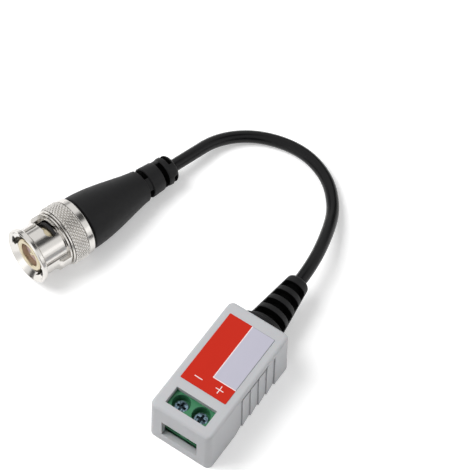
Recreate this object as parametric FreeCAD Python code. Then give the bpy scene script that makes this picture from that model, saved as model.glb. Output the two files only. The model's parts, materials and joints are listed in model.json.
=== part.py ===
import FreeCAD, Part
import math
import os

from FreeCAD import Placement, Rotation, Vector

# Passive video balun: a small box with two screw terminals, a short coaxial lead
# and a bayonet plug. Millimetres. X runs from the terminals to the lead, Z is up,
# and the origin is the middle of the housing's bottom, on the surface it stands on.

# Housing
housing_length = 31.0
housing_width = 15.9
housing_height = 13.7
housing_draft = 1.0
housing_wall = 1.4
roof_thickness = 1.3
corner_radius = 1.4
inner_corner_radius = 0.6
roof_edge_radius = 0.8
cut_margin = 1.0

# Grip flutes on the two long sides
flute_count = 5
flute_pitch = 3.1
flute_end_gap = 5.9
flute_depth = 0.38
flute_crest_inset = 0.03
flute_top_margin = 1.1

# Base cover with its snap hooks and board posts
cover_thickness = 1.2
cover_ledge = 0.45
cover_gap = 0.08
hook_width = 2.6
hook_end_gap = 1.46
hook_thickness = 0.7
hook_height = 1.9
hook_wall_gap = 0.12
hook_barb = 0.3
hook_barb_height = 0.8
hook_groove_gap = 0.12
post_size = 1.2
post_height = 0.9
post_hook_gap = 0.2
post_edge_gap = 0.6

# Circuit board
board_thickness = 1.0
board_edge_gap = 0.12
board_relief_gap = 0.48
board_hook_gap = 0.15
rib_x = 5.0
rib_thickness = 1.0
rib_overlap = 0.4
rib_board_gap = 0.1
lead_hole_gap = 0.12
lead_under_board = 0.8

# Label on the roof
label_thickness = 0.12
label_window_gap = 2.27
label_end_gap = 2.91
label_side_gap = 1.91
label_offset_y = 0.15
label_corner_radius = 0.2

# Terminal block
pole_pitch = 5.08
block_depth = 7.6
block_roof_gap = 0.1
block_wall_gap = 0.1
screw_inset = 2.92
block_floor = 0.6
block_outer_wall = 0.54
cavity_depth = 4.2
shoulder_thickness = 0.4
shoulder_hole_radius = 1.35
well_radius = 2.05
entry_width = 3.4
entry_sill = 0.6
entry_straight = 1.7
window_length = 4.3
window_gap = 0.02
slot_width = 9.0
slot_sill = 2.8
slot_height = 5.5

# Wire cages, contacts and screws
cage_side_gap = 0.1
cage_end_gap = 0.2
cage_floor_gap = 0.1
cage_side = 0.5
cage_floor = 0.6
cage_window = 2.6
cage_roof = 0.9
cage_travel = 1.5
cage_top_gap = 0.05
tongue_width = 2.6
tongue_thickness = 0.7
tongue_rise = 1.85
tongue_reach = 1.64
leg_thickness = 0.7
leg_width = 1.0
leg_slot_gap = 0.08
screw_radius = 1.25
screw_thread_gap = 0.05
screw_tip_gap = 0.04
screw_seat_gap = 0.05
screw_head_radius = 1.5
screw_head_height = 0.8
recess_length = 2.2
recess_width = 0.55
recess_depth = 0.6

# Choke, capacitor, surge diode and resistors on the board, in a row between the
# terminal block and the lead's wires
choke_edge_gap = 1.5
core_inner_share = 0.5
core_height = 3.4
core_chamfer = 0.3
winding_turns = 12
winding_wire = 0.4
winding_gap = 0.05
capacitor_radius = 2.4
capacitor_thickness = 1.9
capacitor_rounding = 0.5
capacitor_rise = 0.8
capacitor_lead_spacing = 2.5
small_lead_radius = 0.3
diode_radius = 1.35
diode_length = 5.0
diode_rise = 0.15
diode_lead_spacing = 7.6
chip_length = 2.0
chip_width = 1.25
chip_height = 0.5
chip_end_gap = 0.57
chip_y = 3.9

# Strain relief at the housing
relief_drop = 0.05
relief_flange_rise = 0.8
relief_flange_thickness = 1.0
relief_neck_radius = 3.5
relief_inner_flange_radius = 4.3
relief_inner_flange_thickness = 0.9
relief_root_radius = 4.6
relief_body_radius = 4.2
relief_root_length = 2.4
relief_end_radius = 2.72
relief_length = 15.6
relief_end_rounding = 1.0
relief_core_radius = 2.05
relief_slot_count = 4
relief_slot_start = 2.3
relief_slot_width = 1.8
relief_slot_pitch = 3.1
relief_web_angle = 40.0
relief_roll_angle = 18.0

# Lead
cable_radius = 1.5
cable_first_run = 5.4
cable_last_run = 4.8
cable_bend_share = 0.45
cable_points = [
    (46.4, 2.3, 4.9),
    (54.2, 5.4, 2.6),
    (61.05, 11.7, 1.56),
    (63.9, 20.8, 1.56),
    (61.4, 31.3, 1.56),
    (54.5, 38.2, 2.6),
]
dielectric_radius = 0.85
conductor_radius = 0.3
tail_dielectric_length = 1.5
tail_conductor_drop = 0.9
pigtail_radius = 0.35
pigtail_offset_y = 2.2
pigtail_gap = 0.15

# Where the plug lies: lip centre, heading and the tilt from resting on its knurl
plug_lip_x = 0.57
plug_lip_y = 52.84
plug_yaw = -15.57
plug_tilt = 5.15

# Coupling nut, measured along the plug's axis from the lip
lip_radius = 6.73
lip_width = 1.4
lip_chamfer = 0.3
mouth_bevel_width = 1.4
mouth_bevel_length = 1.3
sleeve_radius = 5.4
sleeve_end = 7.9
collar_radius = 6.35
collar_width = 0.4
step_radius = 6.8
step_width = 0.4
groove_depth = 0.3
groove_width = 0.14
knurl_radius = 7.2
knurl_length = 3.6
rim_radius = 7.0
rim_length = 1.8
rim_rounding = 0.4
nut_bore_radius = 4.9
nut_shoulder_start = 8.3
nut_shoulder_thickness = 1.0
nut_chamber_radius = 6.0

# Bayonet channels
stud_slot_width = 2.4
stud_hole_radius = 1.5
channel_radius = 5.6
hump_wall = 0.3
hump_border = 0.6
pad_start = 4.6
pad_rise = 1.0
pad_radius = 6.6
pad_first_angle = -98.0
pad_last_angle = -52.0
channel_entry_angle = -85.0
channel_open_angle = -55.0
channel_end_angle = 5.0
channel_entry_depth = 3.6
channel_run_depth = 6.4
channel_sections = 4

# Inside the plug
body_shaft_radius = 4.45
body_shaft_gap = 0.05
body_front = 7.4
washer_thickness = 0.3
washer_gap = 0.05
washer_edge_gap = 0.15
body_flange_radius = 5.8
body_flange_thickness = 0.95
body_hub_radius = 3.5
body_hub_end = 15.5
body_stub_radius = 2.6
body_stub_end = 19.0
body_bore_radius = 1.3
body_socket_radius = 3.4
body_socket_depth = 1.6
press_gap = 0.02
spring_height = 1.6
spring_thickness = 0.3
spring_waves = 3
spring_inner_gap = 0.5
spring_edge_gap = 0.3
ring_thickness = 0.8
ring_hub_gap = 0.1
contact_front = 0.75
contact_outer_radius = 4.05
contact_inner_radius = 2.8
contact_chamfer = 0.25
gasket_width = 0.7
gasket_outer_gap = 0.1
gasket_inner_gap = 0.03
gasket_groove_depth = 0.15
gasket_groove_margin = 0.1
insulator_front = 2.2
insulator_gap = 0.02
pin_tip = 1.4
pin_radius = 0.675
pin_barrel_radius = 1.1
pin_barrel_start = 5.0
pin_end = 13.0
pin_gap = 0.025
ferrule_start = 15.9
ferrule_end = 22.0
ferrule_wall = 0.45
ferrule_gap = 0.05

# Boot
boot_front = 14.8
boot_front_radius = 6.6
boot_front_rounding = 0.4
boot_neck = 32.7
boot_neck_radius = 3.9
boot_swell_turn = 24.6
boot_swell_turn_radius = 5.35
boot_front_bulge = 0.31
boot_neck_hollow = 0.19
boot_groove_radius = 3.45
boot_ring_start = 34.0
boot_ring_radius = 3.75
boot_ring_end = 37.5
boot_ring_end_radius = 3.55
boot_tip_start = 38.8
boot_tip_radius = 3.5
boot_tip_rounding_start = 41.0
boot_tip_shoulder = 41.6
boot_tip_shoulder_radius = 2.9
boot_end = 41.9
boot_end_radius = 1.8
boot_core_radius = 1.9
boot_slot_angle = 125.0
boot_slot_centre = -47.5
boot_slot_width = 1.3
boot_tip_slot_start = 40.1
boot_tip_slot_width = 0.9
boot_pocket_gap = 0.06

# Sizes that follow from the ones above
draft_slope = math.tan(math.radians(housing_draft))
board_bottom = cover_thickness + post_height
board_top = board_bottom + board_thickness
roof_underside = housing_height - roof_thickness
block_top = roof_underside - block_roof_gap
relief_height = housing_height / 2 - relief_drop
relief_flange_radius = relief_height - relief_flange_rise


def half_size(z, inset):
    """Half length and half width of the drafted housing at height z, an inset in."""
    shrink = z * draft_slope + inset
    return housing_length / 2 - shrink, housing_width / 2 - shrink


block_front_x = -half_size(block_top, housing_wall)[0] + block_wall_gap
screw_x = block_front_x + screw_inset
block_back_x = block_front_x + block_depth
hook_outer_y = half_size(cover_thickness + hook_height, housing_wall)[1] - hook_wall_gap
hook_x = half_size(cover_thickness, housing_wall)[0] - hook_end_gap - hook_width / 2
post_x = hook_x - hook_width / 2 - post_hook_gap - post_size / 2
board_half_width = hook_outer_y - hook_thickness - board_hook_gap
post_y = board_half_width - post_edge_gap - post_size / 2
cavity_half_width = pole_pitch / 2 - block_outer_wall
cavity_floor_z = board_top + block_floor
cage_bottom_z = cavity_floor_z + cage_floor_gap
cage_top_z = cage_bottom_z + cage_floor + cage_window + cage_roof
cavity_roof_z = cage_top_z + cage_travel + cage_top_gap
tongue_bottom_z = cage_bottom_z + cage_floor + tongue_rise
tongue_top_z = tongue_bottom_z + tongue_thickness
leg_front_x = screw_x + cavity_depth / 2 + leg_slot_gap
lead_end_z = board_bottom - lead_under_board
relief_wall_x = half_size(relief_height, 0)[0]
relief_tip_x = relief_wall_x + relief_length
relief_inner_x = half_size(relief_height, housing_wall)[0] - relief_inner_flange_thickness
tail_drop_x = relief_inner_x - tail_dielectric_length - tail_conductor_drop
board_lead_end_x = relief_inner_x - board_relief_gap
chip_x = board_lead_end_x - chip_end_gap - chip_width / 2
choke_radius = board_half_width - choke_edge_gap
row_length = tail_drop_x - pigtail_radius - block_back_x
row_gap = (row_length - capacitor_thickness - 2 * (choke_radius + diode_radius)) / 4
core_outer_radius = choke_radius - winding_wire - winding_gap
core_inner_radius = core_outer_radius * core_inner_share
capacitor_x = block_back_x + row_gap + capacitor_thickness / 2
choke_x = capacitor_x + capacitor_thickness / 2 + row_gap + choke_radius
diode_x = choke_x + choke_radius + row_gap + diode_radius
label_start_x = screw_x + window_length / 2 + label_window_gap
label_end_x = half_size(housing_height, label_end_gap)[0]
label_width = 2 * half_size(housing_height, label_side_gap)[1]
nut_step_start = sleeve_end + collar_width + groove_width
nut_knurl_start = nut_step_start + step_width + groove_width
nut_knurl_end = nut_knurl_start + knurl_length
nut_rim_start = nut_knurl_end + groove_width
nut_end = nut_rim_start + rim_length
washer_start = nut_shoulder_start + nut_shoulder_thickness
body_flange_start = washer_start + washer_thickness + washer_gap
body_flange_end = body_flange_start + body_flange_thickness
ring_start = body_flange_end + spring_height
plug_tilt_radians = math.radians(plug_tilt)
plug_lip_z = (knurl_radius * math.cos(plug_tilt_radians)
              + nut_knurl_end * math.sin(plug_tilt_radians))


def box(x0, x1, y0, y1, z0, z1):
    """Box between two corners."""
    return Part.makeBox(x1 - x0, y1 - y0, z1 - z0, Vector(x0, y0, z0))


def cylinder_z(radius, x, y, z0, z1):
    """Upright cylinder."""
    return Part.makeCylinder(radius, z1 - z0, Vector(x, y, z0))


def fused(shapes):
    """One solid from several that meet."""
    whole = shapes[0]
    if len(shapes) > 1:
        whole = whole.fuse(shapes[1:])
    return whole.removeSplitter()


def rounded_rectangle(half_x, half_y, radius, z):
    """Closed wire of a rounded rectangle about the Z axis."""
    straight_x = half_x - radius
    straight_y = half_y - radius
    diagonal = radius * math.sqrt(0.5)
    edges = []
    corners = [(1, 1), (-1, 1), (-1, -1), (1, -1)]
    for index, (sign_x, sign_y) in enumerate(corners):
        centre = Vector(sign_x * straight_x, sign_y * straight_y, z)
        along_x = centre + Vector(sign_x * radius, 0, 0)
        along_y = centre + Vector(0, sign_y * radius, 0)
        middle = centre + Vector(sign_x * diagonal, sign_y * diagonal, 0)
        first, last = (along_x, along_y) if index % 2 == 0 else (along_y, along_x)
        edges.append(Part.Arc(first, middle, last).toShape())
        next_x, next_y = corners[(index + 1) % len(corners)]
        if index % 2 == 0:
            target = Vector(next_x * straight_x, next_y * half_y, z)
        else:
            target = Vector(next_x * half_x, next_y * straight_y, z)
        edges.append(Part.makeLine(last, target))
    return Part.Wire(edges)


def drafted_block(z0, z1, inset, radius):
    """Block with the housing's draft between two heights, an inset in from its outside."""
    sections = []
    for z in (z0, z1):
        half_x, half_y = half_size(z, inset)
        sections.append(rounded_rectangle(half_x, half_y, radius, z))
    return Part.makeLoft(sections, True, True)


def revolved(profile):
    """Solid of revolution about the X axis from (x, radius) points."""
    points = [Vector(x, 0, r) for x, r in profile]
    points.append(points[0])
    face = Part.Face(Part.makePolygon(points))
    return face.revolve(Vector(0, 0, 0), Vector(1, 0, 0), 360)


def turned(shape, angle):
    """The shape turned about the X axis; a positive angle goes from +Z to -Y."""
    copy = shape.copy()
    copy.rotate(Vector(0, 0, 0), Vector(1, 0, 0), angle)
    return copy


def sector(x0, x1, r0, r1, centre_angle, span):
    """Part of a ring about the X axis, span degrees wide about centre_angle."""
    points = [Vector(x0, 0, r0), Vector(x1, 0, r0), Vector(x1, 0, r1), Vector(x0, 0, r1)]
    face = Part.Face(Part.makePolygon(points + points[:1]))
    solid = face.revolve(Vector(0, 0, 0), Vector(1, 0, 0), span)
    return turned(solid, centre_angle - span / 2)


def bent_path(points, radii):
    """Wire of straight runs joined by tangent arcs of the given radii."""
    edges = []
    start = points[0]
    for before, corner, after, radius in zip(points, points[1:], points[2:], radii):
        inward = (before - corner).normalize()
        outward = (after - corner).normalize()
        half_turn = (math.pi - inward.getAngle(outward)) / 2
        reach = radius * math.tan(half_turn)
        first = corner + inward * reach
        last = corner + outward * reach
        bisector = (inward + outward).normalize()
        middle = corner + bisector * (radius / math.cos(half_turn) - radius)
        edges.append(Part.makeLine(start, first))
        edges.append(Part.Arc(first, middle, last).toShape())
        start = last
    edges.append(Part.makeLine(start, points[-1]))
    return Part.Wire(edges)


def rod(points, radii, radius):
    """Round rod along a bent path: a cylinder for each run, part of a torus for each bend."""
    pieces = []
    for edge in bent_path(points, radii).Edges:
        start = edge.valueAt(edge.FirstParameter)
        direction = edge.tangentAt(edge.FirstParameter)
        section = Part.Face(Part.Wire(Part.makeCircle(radius, start, direction)))
        if isinstance(edge.Curve, Part.Circle):
            turn = math.degrees(edge.LastParameter - edge.FirstParameter)
            pieces.append(section.revolve(edge.Curve.Center, edge.Curve.Axis, turn))
        else:
            pieces.append(section.extrude(direction * edge.Length))
    return fused(pieces)


def mitred_lead(points, radius):
    """Thin round lead with mitred corners."""
    direction = (points[1] - points[0]).normalize()
    profile = Part.Wire(Part.makeCircle(radius, points[0], direction))
    return Part.Wire(Part.makePolygon(points)).makePipeShell([profile], True, False, 1)


def pole_sides():
    """The two poles: plus on the -Y side, minus on the +Y side."""
    return (("plus", -pole_pitch / 2), ("minus", pole_pitch / 2))


def lead_holes():
    """Where wires and legs go through the board, with each hole's radius."""
    leg_radius = math.hypot(leg_thickness, leg_width) / 2
    holes = [(leg_front_x + leg_thickness / 2, y, leg_radius) for _, y in pole_sides()]
    for side in (-1, 1):
        holes.append((capacitor_x, side * capacitor_lead_spacing / 2, small_lead_radius))
        holes.append((diode_x, side * diode_lead_spacing / 2, small_lead_radius))
    holes.append((tail_drop_x, 0, conductor_radius))
    holes.append((tail_drop_x, pigtail_offset_y, pigtail_radius))
    return holes


def housing_shell():
    """Drafted shell with its window, wire slot, flutes, cover ledge and hook grooves."""
    shell = drafted_block(0, housing_height, 0, corner_radius)
    top_edges = [e for e in shell.Edges if e.BoundBox.ZMin > housing_height - 1e-6]
    shell = shell.makeFillet(roof_edge_radius, top_edges)
    cuts = [drafted_block(-cut_margin, roof_underside, housing_wall, inner_corner_radius)]
    ledge_x, ledge_y = half_size(0, housing_wall - cover_ledge)
    ledge = Part.Face(rounded_rectangle(ledge_x, ledge_y, inner_corner_radius, -cut_margin))
    cuts.append(ledge.extrude(Vector(0, 0, cut_margin + cover_thickness)))
    window_half = pole_pitch + window_gap
    cuts.append(box(screw_x - window_length / 2, screw_x + window_length / 2,
                    -window_half, window_half, block_top, housing_height + cut_margin))
    cuts.append(box(-housing_length / 2 - cut_margin, block_front_x - block_wall_gap / 2,
                    -slot_width / 2, slot_width / 2, slot_sill, slot_sill + slot_height))
    cuts.append(Part.makeCylinder(relief_neck_radius, housing_wall * 2 + cut_margin,
                                  Vector(relief_inner_x, 0, relief_height), Vector(1, 0, 0)))
    for side in (-1, 1):
        cuts.append(flute_cutter(side))
        for x in (-hook_x, hook_x):
            cuts.append(hook_groove(x, side))
    shell = shell.cut(cuts)
    ribs = [shell]
    for side in (-1, 1):
        reach = board_half_width - rib_overlap
        into_wall = half_size(board_top, housing_wall)[1] + housing_wall / 4
        low, high = sorted((side * reach, side * into_wall))
        ribs.append(box(rib_x - rib_thickness / 2, rib_x + rib_thickness / 2, low, high,
                        board_top + rib_board_gap, roof_underside + roof_thickness / 4))
    return fused(ribs)


def flute_cutter(side):
    """Saw-tooth cutter for one long side, following the housing's draft."""
    z0 = -cut_margin
    height = housing_height - flute_top_margin - z0
    wall_y = half_size(z0, 0)[1]
    crest_y = wall_y - flute_crest_inset
    last_x = housing_length / 2 - flute_end_gap
    first_x = last_x - flute_count * flute_pitch
    outline = [(first_x, wall_y + cut_margin), (first_x, wall_y + flute_crest_inset)]
    for index in range(1, flute_count + 1):
        step_x = first_x + index * flute_pitch
        outline.append((step_x, wall_y - flute_depth))
        if index < flute_count:
            outline.append((step_x, crest_y))
    outline.append((last_x, wall_y + cut_margin))
    points = [Vector(x, side * y, z0) for x, y in outline]
    face = Part.Face(Part.makePolygon(points + points[:1]))
    return face.extrude(Vector(0, -side * height * draft_slope, height))


def hook_groove(x, side):
    """Groove in a long wall for one snap hook's barb."""
    wall_y = half_size(cover_thickness + hook_height, housing_wall)[1]
    top = cover_thickness + hook_height + hook_groove_gap
    low, high = sorted((side * (wall_y - hook_wall_gap),
                        side * (hook_outer_y + hook_barb + hook_groove_gap)))
    half = hook_width / 2 + hook_groove_gap
    bottom = cover_thickness + hook_height - hook_barb_height - hook_groove_gap
    return box(x - half, x + half, low, high, bottom, top)


def base_cover():
    """Plate that closes the bottom, with four snap hooks and four board posts."""
    ledge_x, ledge_y = half_size(0, housing_wall - cover_ledge)
    outline = rounded_rectangle(ledge_x - cover_gap, ledge_y - cover_gap,
                                inner_corner_radius, 0)
    pieces = [Part.Face(outline).extrude(Vector(0, 0, cover_thickness))]
    top = cover_thickness + hook_height
    for side in (-1, 1):
        for x in (-hook_x, hook_x):
            low, high = sorted((side * (hook_outer_y - hook_thickness), side * hook_outer_y))
            pieces.append(box(x - hook_width / 2, x + hook_width / 2, low, high,
                              cover_thickness / 2, top))
            root_y = hook_outer_y - hook_thickness / 2
            barb = [Vector(x - hook_width / 2, side * root_y, top - hook_barb_height),
                    Vector(x - hook_width / 2, side * (hook_outer_y + hook_barb),
                           top - hook_barb_height),
                    Vector(x - hook_width / 2, side * hook_outer_y, top),
                    Vector(x - hook_width / 2, side * root_y, top)]
            face = Part.Face(Part.makePolygon(barb + barb[:1]))
            pieces.append(face.extrude(Vector(hook_width, 0, 0)))
        for x in (-post_x, post_x):
            y = side * post_y
            pieces.append(box(x - post_size / 2, x + post_size / 2,
                              y - post_size / 2, y + post_size / 2,
                              cover_thickness / 2, board_bottom))
    return fused(pieces)


def label():
    """Thin sticker on the roof."""
    half_x = (label_end_x - label_start_x) / 2
    outline = rounded_rectangle(half_x, label_width / 2, label_corner_radius, housing_height)
    sticker = Part.Face(outline).extrude(Vector(0, 0, label_thickness))
    sticker.translate(Vector(label_start_x + half_x, label_offset_y, 0))
    return sticker


def circuit_board():
    """Board on the posts, drilled for every leg and wire."""
    board = box(block_front_x + board_edge_gap, board_lead_end_x,
                -board_half_width, board_half_width, board_bottom, board_top)
    holes = []
    for x, y, radius in lead_holes():
        holes.append(cylinder_z(radius + lead_hole_gap, x, y,
                                board_bottom - cut_margin, board_top + cut_margin))
    return board.cut(holes)


def terminal_block():
    """Two-pole rising-cage block, with screw wells, wire entries and leg slots."""
    block = box(block_front_x, block_back_x, -pole_pitch, pole_pitch,
                board_top, block_top)
    cuts = []
    for _, y in pole_sides():
        cuts.append(box(screw_x - cavity_depth / 2, screw_x + cavity_depth / 2,
                        y - cavity_half_width, y + cavity_half_width,
                        cavity_floor_z, cavity_roof_z))
        cuts.append(cylinder_z(shoulder_hole_radius, screw_x, y,
                               cavity_roof_z - cut_margin, block_top))
        cuts.append(cylinder_z(well_radius, screw_x, y,
                               cavity_roof_z + shoulder_thickness, block_top + cut_margin))
        cuts.append(wire_entry(y))
        slot_half = tongue_width / 2 + leg_slot_gap
        cuts.append(box(screw_x + cavity_depth / 2 - cut_margin,
                        leg_front_x + leg_thickness + leg_slot_gap,
                        y - slot_half, y + slot_half,
                        board_top - cut_margin, tongue_top_z + leg_slot_gap))
    return block.cut(cuts)


def wire_entry(y):
    """Arched wire entry of one pole, from the front into its cavity."""
    x0 = block_front_x - cut_margin
    length = screw_x - cavity_depth / 2 - x0 + cage_end_gap
    sill = board_top + entry_sill
    half = entry_width / 2
    spring_z = sill + entry_straight
    low_left = Vector(x0, y - half, sill)
    low_right = Vector(x0, y + half, sill)
    high_right = Vector(x0, y + half, spring_z)
    high_left = Vector(x0, y - half, spring_z)
    crown = Vector(x0, y, spring_z + half)
    edges = [Part.makeLine(low_left, low_right), Part.makeLine(low_right, high_right),
             Part.Arc(high_right, crown, high_left).toShape(),
             Part.makeLine(high_left, low_left)]
    return Part.Face(Part.Wire(edges)).extrude(Vector(length, 0, 0))


def wire_cage(y):
    """Clamp cage that the screw draws up: a box open along the wire, tapped on top."""
    half_x = cavity_depth / 2 - cage_end_gap
    half_y = cavity_half_width - cage_side_gap
    cage = box(screw_x - half_x, screw_x + half_x, y - half_y, y + half_y,
               cage_bottom_z, cage_top_z)
    floor = cage_bottom_z + cage_floor
    opening = box(screw_x - half_x - cut_margin, screw_x + half_x + cut_margin,
                  y - half_y + cage_side, y + half_y - cage_side,
                  floor, floor + cage_window)
    tapping = cylinder_z(screw_radius + screw_thread_gap, screw_x, y,
                         floor, cage_top_z + cut_margin)
    return cage.cut([opening, tapping])


def contact(y):
    """Tongue above the wire, bent down into a leg that is soldered into the board."""
    back_x = leg_front_x + leg_thickness
    tongue = box(screw_x - tongue_reach, back_x, y - tongue_width / 2, y + tongue_width / 2,
                 tongue_bottom_z, tongue_top_z)
    leg = box(leg_front_x, back_x, y - leg_width / 2, y + leg_width / 2,
              lead_end_z, tongue_top_z)
    return fused([tongue, leg])


def terminal_screw(y):
    """Cheese-head screw with a cross recess, its shank in the cage's thread."""
    tip_z = tongue_top_z + screw_tip_gap
    head_z = cavity_roof_z + shoulder_thickness + screw_seat_gap
    top_z = head_z + screw_head_height
    screw = fused([cylinder_z(screw_radius, screw_x, y, tip_z, head_z),
                   cylinder_z(screw_head_radius, screw_x, y, head_z, top_z)])
    half_long = recess_length / 2
    half_wide = recess_width / 2
    low = top_z - recess_depth
    high = top_z + cut_margin
    recess = [box(screw_x - half_long, screw_x + half_long, y - half_wide, y + half_wide,
                  low, high),
              box(screw_x - half_wide, screw_x + half_wide, y - half_long, y + half_long,
                  low, high)]
    return screw.cut(recess)


def ferrite_core():
    """Toroid lying on its winding."""
    base = board_top + winding_wire + winding_gap
    top = base + core_height
    outline = [(core_inner_radius, base + core_chamfer), (core_inner_radius + core_chamfer, base),
               (core_outer_radius - core_chamfer, base), (core_outer_radius, base + core_chamfer),
               (core_outer_radius, top - core_chamfer), (core_outer_radius - core_chamfer, top),
               (core_inner_radius + core_chamfer, top), (core_inner_radius, top - core_chamfer)]
    points = [Vector(choke_x + r, 0, z) for r, z in outline]
    face = Part.Face(Part.makePolygon(points + points[:1]))
    return face.revolve(Vector(choke_x, 0, 0), Vector(0, 0, 1), 360)


def choke_winding():
    """One square wire wound round the toroid, lying on the board."""
    half = winding_wire / 2
    base = board_top + half
    top = board_top + winding_wire + core_height + winding_gap * 2 + half
    inner = core_inner_radius - winding_gap - half
    outer = core_outer_radius + winding_gap + half
    step = 360 / winding_turns
    pieces = []
    for turn in range(1, winding_turns):
        legs = [box(choke_x + outer - half, choke_x + outer + half, -half, half,
                    base - half, top + half),
                box(choke_x + inner - half, choke_x + outer + half, -half, half,
                    top - half, top + half),
                box(choke_x + inner - half, choke_x + inner + half, -half, half,
                    base - half, top + half)]
        for leg in legs:
            leg.rotate(Vector(choke_x, 0, 0), Vector(0, 0, 1), turn * step)
        pieces += legs
        start = spoke(inner, turn * step, base - half)
        end = spoke(outer, (turn + 1) * step, base - half)
        along = (end - start).normalize() * half
        aside = Vector(-along.y, along.x, 0)
        corners = [start - along - aside, end + along - aside,
                   end + along + aside, start - along + aside]
        face = Part.Face(Part.makePolygon(corners + corners[:1]))
        pieces.append(face.extrude(Vector(0, 0, winding_wire)))
    return fused(pieces)


def spoke(radius, angle, z):
    """Point on a circle about the choke's upright axis, the angle in degrees."""
    turn = math.radians(angle)
    return Vector(choke_x + radius * math.cos(turn), radius * math.sin(turn), z)


def capacitor():
    """Disc capacitor standing across the board on two straight leads."""
    centre_z = board_top + capacitor_rise + capacitor_radius
    disc = Part.makeCylinder(capacitor_radius, capacitor_thickness,
                             Vector(capacitor_x - capacitor_thickness / 2, 0, centre_z),
                             Vector(1, 0, 0))
    rims = [e for e in disc.Edges if e.BoundBox.XLength < 1e-6]
    disc = disc.makeChamfer(capacitor_rounding, rims)
    pieces = [disc]
    for side in (-1, 1):
        pieces.append(cylinder_z(small_lead_radius, capacitor_x,
                                 side * capacitor_lead_spacing / 2, lead_end_z, centre_z))
    return fused(pieces)


def surge_diode():
    """Axial diode with both leads bent down into the board."""
    z = board_top + diode_rise + diode_radius
    body = Part.makeCylinder(diode_radius, diode_length,
                             Vector(diode_x, -diode_length / 2, z), Vector(0, 1, 0))
    half = diode_lead_spacing / 2
    points = [Vector(diode_x, -half, lead_end_z), Vector(diode_x, -half, z),
              Vector(diode_x, half, z), Vector(diode_x, half, lead_end_z)]
    leads = mitred_lead(points, small_lead_radius)
    return fused([body, leads])


def chip_resistors():
    """Two chip resistors beside the lead's solder joints."""
    chips = []
    for side in (-1, 1):
        y = side * chip_y
        chips.append(box(chip_x - chip_width / 2, chip_x + chip_width / 2,
                         y - chip_length / 2, y + chip_length / 2,
                         board_top, board_top + chip_height))
    return Part.makeCompound(chips)


def coax_core():
    """Stripped insulation and conductor of the lead, bent down into the board."""
    end_x = relief_inner_x - tail_dielectric_length
    insulation = Part.makeCylinder(dielectric_radius, tail_dielectric_length,
                                   Vector(end_x, 0, relief_height), Vector(1, 0, 0))
    points = [Vector(relief_inner_x, 0, relief_height),
              Vector(tail_drop_x, 0, relief_height), Vector(tail_drop_x, 0, lead_end_z)]
    return fused([insulation, mitred_lead(points, conductor_radius)])


def shield_pigtail():
    """Twisted braid of the lead, led aside and down into the board."""
    start_y = dielectric_radius + pigtail_radius + press_gap
    points = [Vector(relief_inner_x - pigtail_gap, start_y, relief_height),
              Vector(tail_drop_x, pigtail_offset_y, relief_height),
              Vector(tail_drop_x, pigtail_offset_y, lead_end_z)]
    return mitred_lead(points, pigtail_radius)


def strain_relief():
    """Moulded relief: a plate clipped in the end wall, then a slotted tapered body."""
    flange_end = relief_wall_x + relief_flange_thickness
    body_start = flange_end + relief_root_length
    tip_x = relief_tip_x - relief_end_rounding
    wall_inner = half_size(relief_height, housing_wall)[0]
    profile = [(relief_inner_x, 0), (relief_inner_x, relief_inner_flange_radius),
               (wall_inner, relief_inner_flange_radius), (wall_inner, relief_neck_radius),
               (relief_wall_x, relief_neck_radius), (relief_wall_x, relief_flange_radius),
               (flange_end, relief_flange_radius), (flange_end, relief_root_radius),
               (body_start, relief_body_radius), (tip_x, relief_end_radius)]
    points = [Vector(x, 0, r) for x, r in profile]
    quarter = math.sqrt(0.5)
    tip_core = relief_end_radius - relief_end_rounding
    arc_middle = Vector(tip_x + relief_end_rounding * quarter, 0,
                        tip_core + relief_end_rounding * quarter)
    arc_end = Vector(relief_tip_x, 0, tip_core)
    edges = [Part.makeLine(a, b) for a, b in zip(points, points[1:])]
    edges.append(Part.Arc(points[-1], arc_middle, arc_end).toShape())
    edges.append(Part.makeLine(arc_end, Vector(relief_tip_x, 0, 0)))
    edges.append(Part.makeLine(Vector(relief_tip_x, 0, 0), points[0]))
    relief = Part.Face(Part.Wire(edges)).revolve(Vector(0, 0, 0), Vector(1, 0, 0), 360)
    slot_span = 180 - relief_web_angle
    cuts = []
    for index in range(relief_slot_count):
        x = relief_wall_x + relief_slot_start + index * relief_slot_pitch
        for centre in (0, 180):
            cuts.append(sector(x, x + relief_slot_width, relief_core_radius,
                               relief_flange_radius, centre + relief_roll_angle, slot_span))
    relief = relief.cut(cuts)
    relief.translate(Vector(0, 0, relief_height))
    envelope = drafted_block(0, housing_height, 0, corner_radius)
    inside = drafted_block(0, roof_underside, housing_wall, inner_corner_radius)
    neck = Part.makeCylinder(relief_neck_radius, housing_wall * 2 + cut_margin,
                             Vector(relief_inner_x, 0, relief_height), Vector(1, 0, 0))
    return relief.cut(envelope.cut([inside, neck]))


def plug_placed(shape):
    """The shape moved from the plug's own axis to where the plug lies."""
    copy = shape.copy()
    copy.Placement = plug_placement()
    return copy


def plug_placement():
    """Where the plug lies, from the middle of its lip."""
    heading = Rotation(Vector(0, 0, 1), plug_yaw)
    tilt = Rotation(Vector(0, 1, 0), plug_tilt)
    return Placement(Vector(plug_lip_x, plug_lip_y, plug_lip_z), heading.multiply(tilt))


def plug_point(distance):
    """Point on the plug's axis, a distance behind the lip."""
    return plug_placement().multVec(Vector(distance, 0, 0))


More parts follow.
